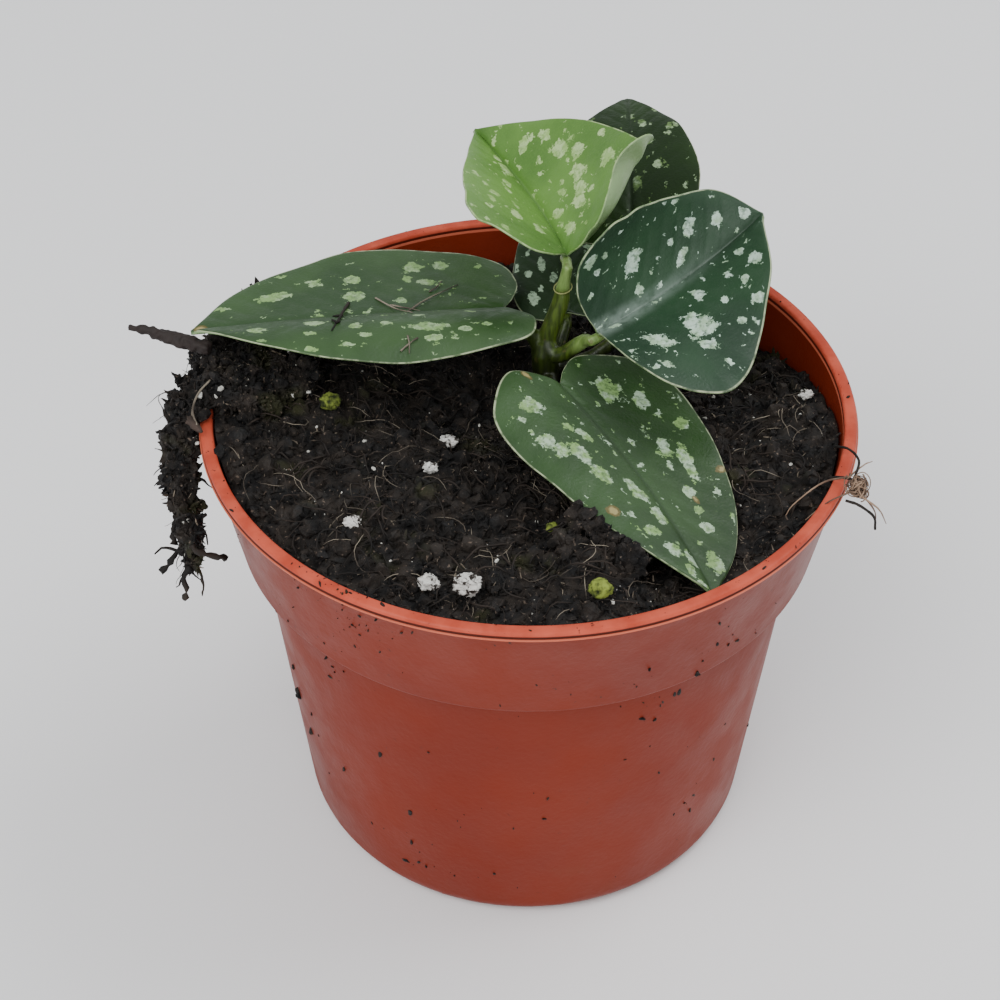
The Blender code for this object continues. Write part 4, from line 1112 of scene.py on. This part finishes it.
# Dry sheath: a withered dark strip that sticks out of the heap past the tip of the left leaf.
sheath_dark, shader, where = start_material("withered_sheath", 0.7, 0.4)
feed(shader, "Base Color", blend(grain(where, 500.0, 4.0), rgb(13, 9, 8), rgb(44, 31, 26)))
strip = merged_copy("dry_sheath", "dry_sheath_strip", sheath_dark, 0.25, 3)
for vert in strip.data.vertices:
    vert.co += vert.normal * 0.5 * noise.noise(vert.co / MM / 1.1) * MM
dress(strip, "dry_sheath", "dry_sheath")


# Debris: bits of dry root and a dark twig dropped on the left leaf, peat crumbs and flakes that cling to the
# pot's lip and wall, and loose peat heaped against the front leaf.
def on_blade(leaf, along, across, lift):
    """A point a little above the blade, from its place along the midrib and across as on the patches."""
    half = 1 if across > 0 else -1
    at = np.array([[along * leaf.length]])
    aside = np.array([[abs(across)]])
    point = blade_points(leaf, at, aside, aside + 1.0, np.zeros((1, 1)), half)[0, 0]
    return point + np.array((0.0, 0.0, LEAF_THICKNESS / 2 + lift))


PALE_BITS = (((0.40, -0.25), (0.35, -0.05), (0.30, 0.14)), ((0.31, 0.02), (0.24, -0.16), (0.12, -0.39)),
             ((0.36, -0.12), (0.31, -0.04), (0.27, 0.02)), ((0.34, 0.68), (0.34, 0.80), (0.345, 0.92)),
             ((0.37, 0.88), (0.345, 0.82), (0.34, 0.78)), ((0.31, 0.72), (0.33, 0.78), (0.34, 0.80)),
             ((0.22, -0.30), (0.19, -0.36), (0.17, -0.46)))
DARK_BITS = (((0.49, -0.20), (0.53, 0.15), (0.57, 0.50)), ((0.52, 0.05), (0.54, 0.08), (0.55, 0.02)),
             ((0.54, 0.30), (0.55, 0.34), (0.56, 0.22)))
left_leaf = LEAVES["leaf_left"]
DROPPED = (("dropped_roots", PALE_BITS, pale_root, 0.16), ("dropped_twig", DARK_BITS, dark_root, 0.28))
for name, bits, finish, radius in DROPPED:
    parts = []
    for k, places in enumerate(bits):
        knots = [on_blade(left_leaf, u, v, 0.15 + 0.25 * (j % 2)) for j, (u, v) in enumerate(places)]
        parts.append(tube_mesh(catmull(knots, 12), radius * np.linspace(1.1, 0.5, 12), 6, 0.6, float(k)))
    closed_piece(name, join_meshes(parts), finish, "dry_root")


DIRT_SPOTS = ((-122, 91.5, 3), (-119, 85.5, 2.6), (-122, 82.0, 2.2), (-129, 88.5, 2.4), (-56, 74.0, 2.5),
              (-64, 60.6, 2), (-120, 13.7, 2), (-137, 61.0, 1.5))
SPOT_RADIUS = 55
SPOKES = 180


def around(turn, radius, height):
    """A point from its angle round the pot in degrees, its radius and its height."""
    return Vector(polar(radius, math.radians(turn), height))


def pot_strip(line, patchy):
    """A strip of the pot's surface, with dirt in patches and more of it round the dirt spots."""
    spots = [(reach, around(turn, SPOT_RADIUS, height)) for turn, height, reach in DIRT_SPOTS]
    points, faces, cover = [], [], []
    for ring, (radius, height) in enumerate(line):
        for k in range(SPOKES):
            point = around(360 * k / SPOKES, radius, height)
            points.append(tuple(point))
            near = sum(math.exp(-(((point - spot).length - abs(radius - SPOT_RADIUS)) / reach) ** 2)
                       for reach, spot in spots)
            patch = max(0.0, noise.noise(point / 9.0 + Vector((0, 0, 2))) * 2.2 + patchy)
            cover.append(patch + 4.0 * near)
            after = (k + 1) % SPOKES
            if ring:
                low, high = (ring - 1) * SPOKES, ring * SPOKES
                faces.append((low + k, low + after, high + after, high + k))
    return points, faces, cover


def body_radius(height):
    return float(np.interp(height, (FOOT_ROUNDING, STEP_FOOT), (BODY_FOOT_RADIUS, BODY_TOP_RADIUS)))


def collar_radius(height):
    return float(np.interp(height, (COLLAR_FOOT, LIP_FOOT), (COLLAR_FOOT_RADIUS, COLLAR_TOP_RADIUS)))


lip_top = pot_strip(((57.7, POT_HEIGHT), (58.6, POT_HEIGHT), (59.5, POT_HEIGHT - 0.1)), 0.25)
strew("lip_crumbs", lip_top, peat, "soil", 51, 0.3, (0.2, 1.5), (0.45, 0.3), 0.5, 3.8)
wall_heights = np.linspace(COLLAR_FOOT, POT_HEIGHT - 2.2, 9)
wall_side = pot_strip([(collar_radius(z) + 0.06, z) for z in wall_heights], -0.05)
strew("wall_crumbs", wall_side, peat, "soil", 52, 0.07, (0.2, 1.3), (0.5, 0.3), 0.4, 3.4, 1)
low_side = pot_strip([(body_radius(z), z) for z in np.linspace(8.0, 64.0, 15)], -0.2)
strew("low_crumbs", low_side, peat, "soil", 53, 0.03, (0.3, 1.8), (0.5, 0.3), 0.3, 2.6)

STUCK_FLAKES = ((-157, 35.5, 1.5), (-153, 27.5, 0.9), (-138, 28, 0.6), (-118, 27, 0.7), (-156, 44, 0.7),
                (-58, 70, 0.8))
FLAKE_SHAPE = np.array((0.15, 0.5, 0.4, 0.45, 0.1))
stuck = []
for turn, height, size in STUCK_FLAKES:
    radius = body_radius(height) if height < STEP_FOOT else COLLAR_FOOT_RADIUS
    line = [around(turn, radius + 0.1, height + size * t) for t in (-1.0, -0.4, 0.2, 0.7, 1.0)]
    stuck.append(tube_mesh(line, FLAKE_SHAPE * size, 7, 0.8, float(turn)))
closed_piece("stuck_flakes", join_meshes(stuck), peat, "soil").data.shade_flat()

MOUND_STEPS = (-0.4, 2.0, 5.0, 9.0, 13.0)
MOUND_KNOTS = 14
DOWNHILL = np.array((-0.35, -0.35, -0.32))
edge_line = [on_blade(LEAVES["leaf_front"], u, -0.80 + 1.05 * (u - 0.55), -0.6)
             for u in np.linspace(0.53, 0.84, MOUND_KNOTS)]
mound_points = [point + DOWNHILL * t for t in MOUND_STEPS for point in edge_line]
corners = [r * MOUND_KNOTS + k for r in range(len(MOUND_STEPS) - 1) for k in range(MOUND_KNOTS - 1)]
mound_faces = [(c, c + 1, c + MOUND_KNOTS + 1, c + MOUND_KNOTS) for c in corners]
mound = (mound_points, mound_faces, np.ones(len(mound_points)))
strew("mound_clods", mound, peat, "soil", 54, 1.0, (1.2, 3.4), rough=1.8, small=1.5)
strew("mound_slivers", mound, peat, "soil", 55, 3.0, (1.0, 3.4), (0.16, 0.1), 0.9, 2.0, 1)


# Studio: a pale floor under soft daylight, seen from the front and well above.
floor_finish, shader, where = start_material("pale_floor", 0.8, 0.2)
shader.inputs["Base Color"].default_value = (0.86, 0.86, 0.86, 1.0)
FLOOR_SIDE = 6000
floor_corners = [(x * FLOOR_SIDE / 2, y * FLOOR_SIDE / 2, 0) for x, y in ((-1, -1), (1, -1), (1, 1), (-1, 1))]
floor = build_mesh("floor", floor_corners, [(0, 1, 2, 3)], floor_finish)

world = bpy.data.worlds.new("soft_sky")
bpy.context.scene.world = world
world.use_nodes = True
sky = world.node_tree.nodes["Background"].inputs
sky["Color"].default_value = (0.95, 0.97, 1.0, 1.0)
sky["Strength"].default_value = 0.75
SOFTBOXES = (((-0.5, -0.7, 1.1), 0.9, 13.0), ((0.7, 0.3, 1.0), 0.8, 7.0), ((0.1, -1.1, 0.35), 0.7, 2.8))
aim = Vector((0.0, 0.0, 0.08))
for k, (place, size, power) in enumerate(SOFTBOXES):
    lamp = place_object(f"softbox_{k + 1}", bpy.data.lights.new(f"softbox_{k + 1}", "AREA"))
    lamp.data.energy = power
    lamp.data.size = size
    lamp.location = place
    lamp.rotation_euler = (aim - Vector(place)).to_track_quat("-Z", "Y").to_euler()

CAMERA_TILT = math.radians(41.73)
CAMERA_REACH = 0.42
CAMERA_AIM = Vector((-0.0052, 0.0, 0.06896))
gaze = Vector((0.0, math.cos(CAMERA_TILT), -math.sin(CAMERA_TILT)))
camera = place_object("camera", bpy.data.cameras.new("camera"))
camera.data.lens = 79.56
camera.data.sensor_width = 36.0
camera.data.clip_start = 0.01
camera.location = CAMERA_AIM - gaze * CAMERA_REACH
camera.rotation_euler = gaze.to_track_quat("-Z", "Y").to_euler()
bpy.context.scene.camera = camera
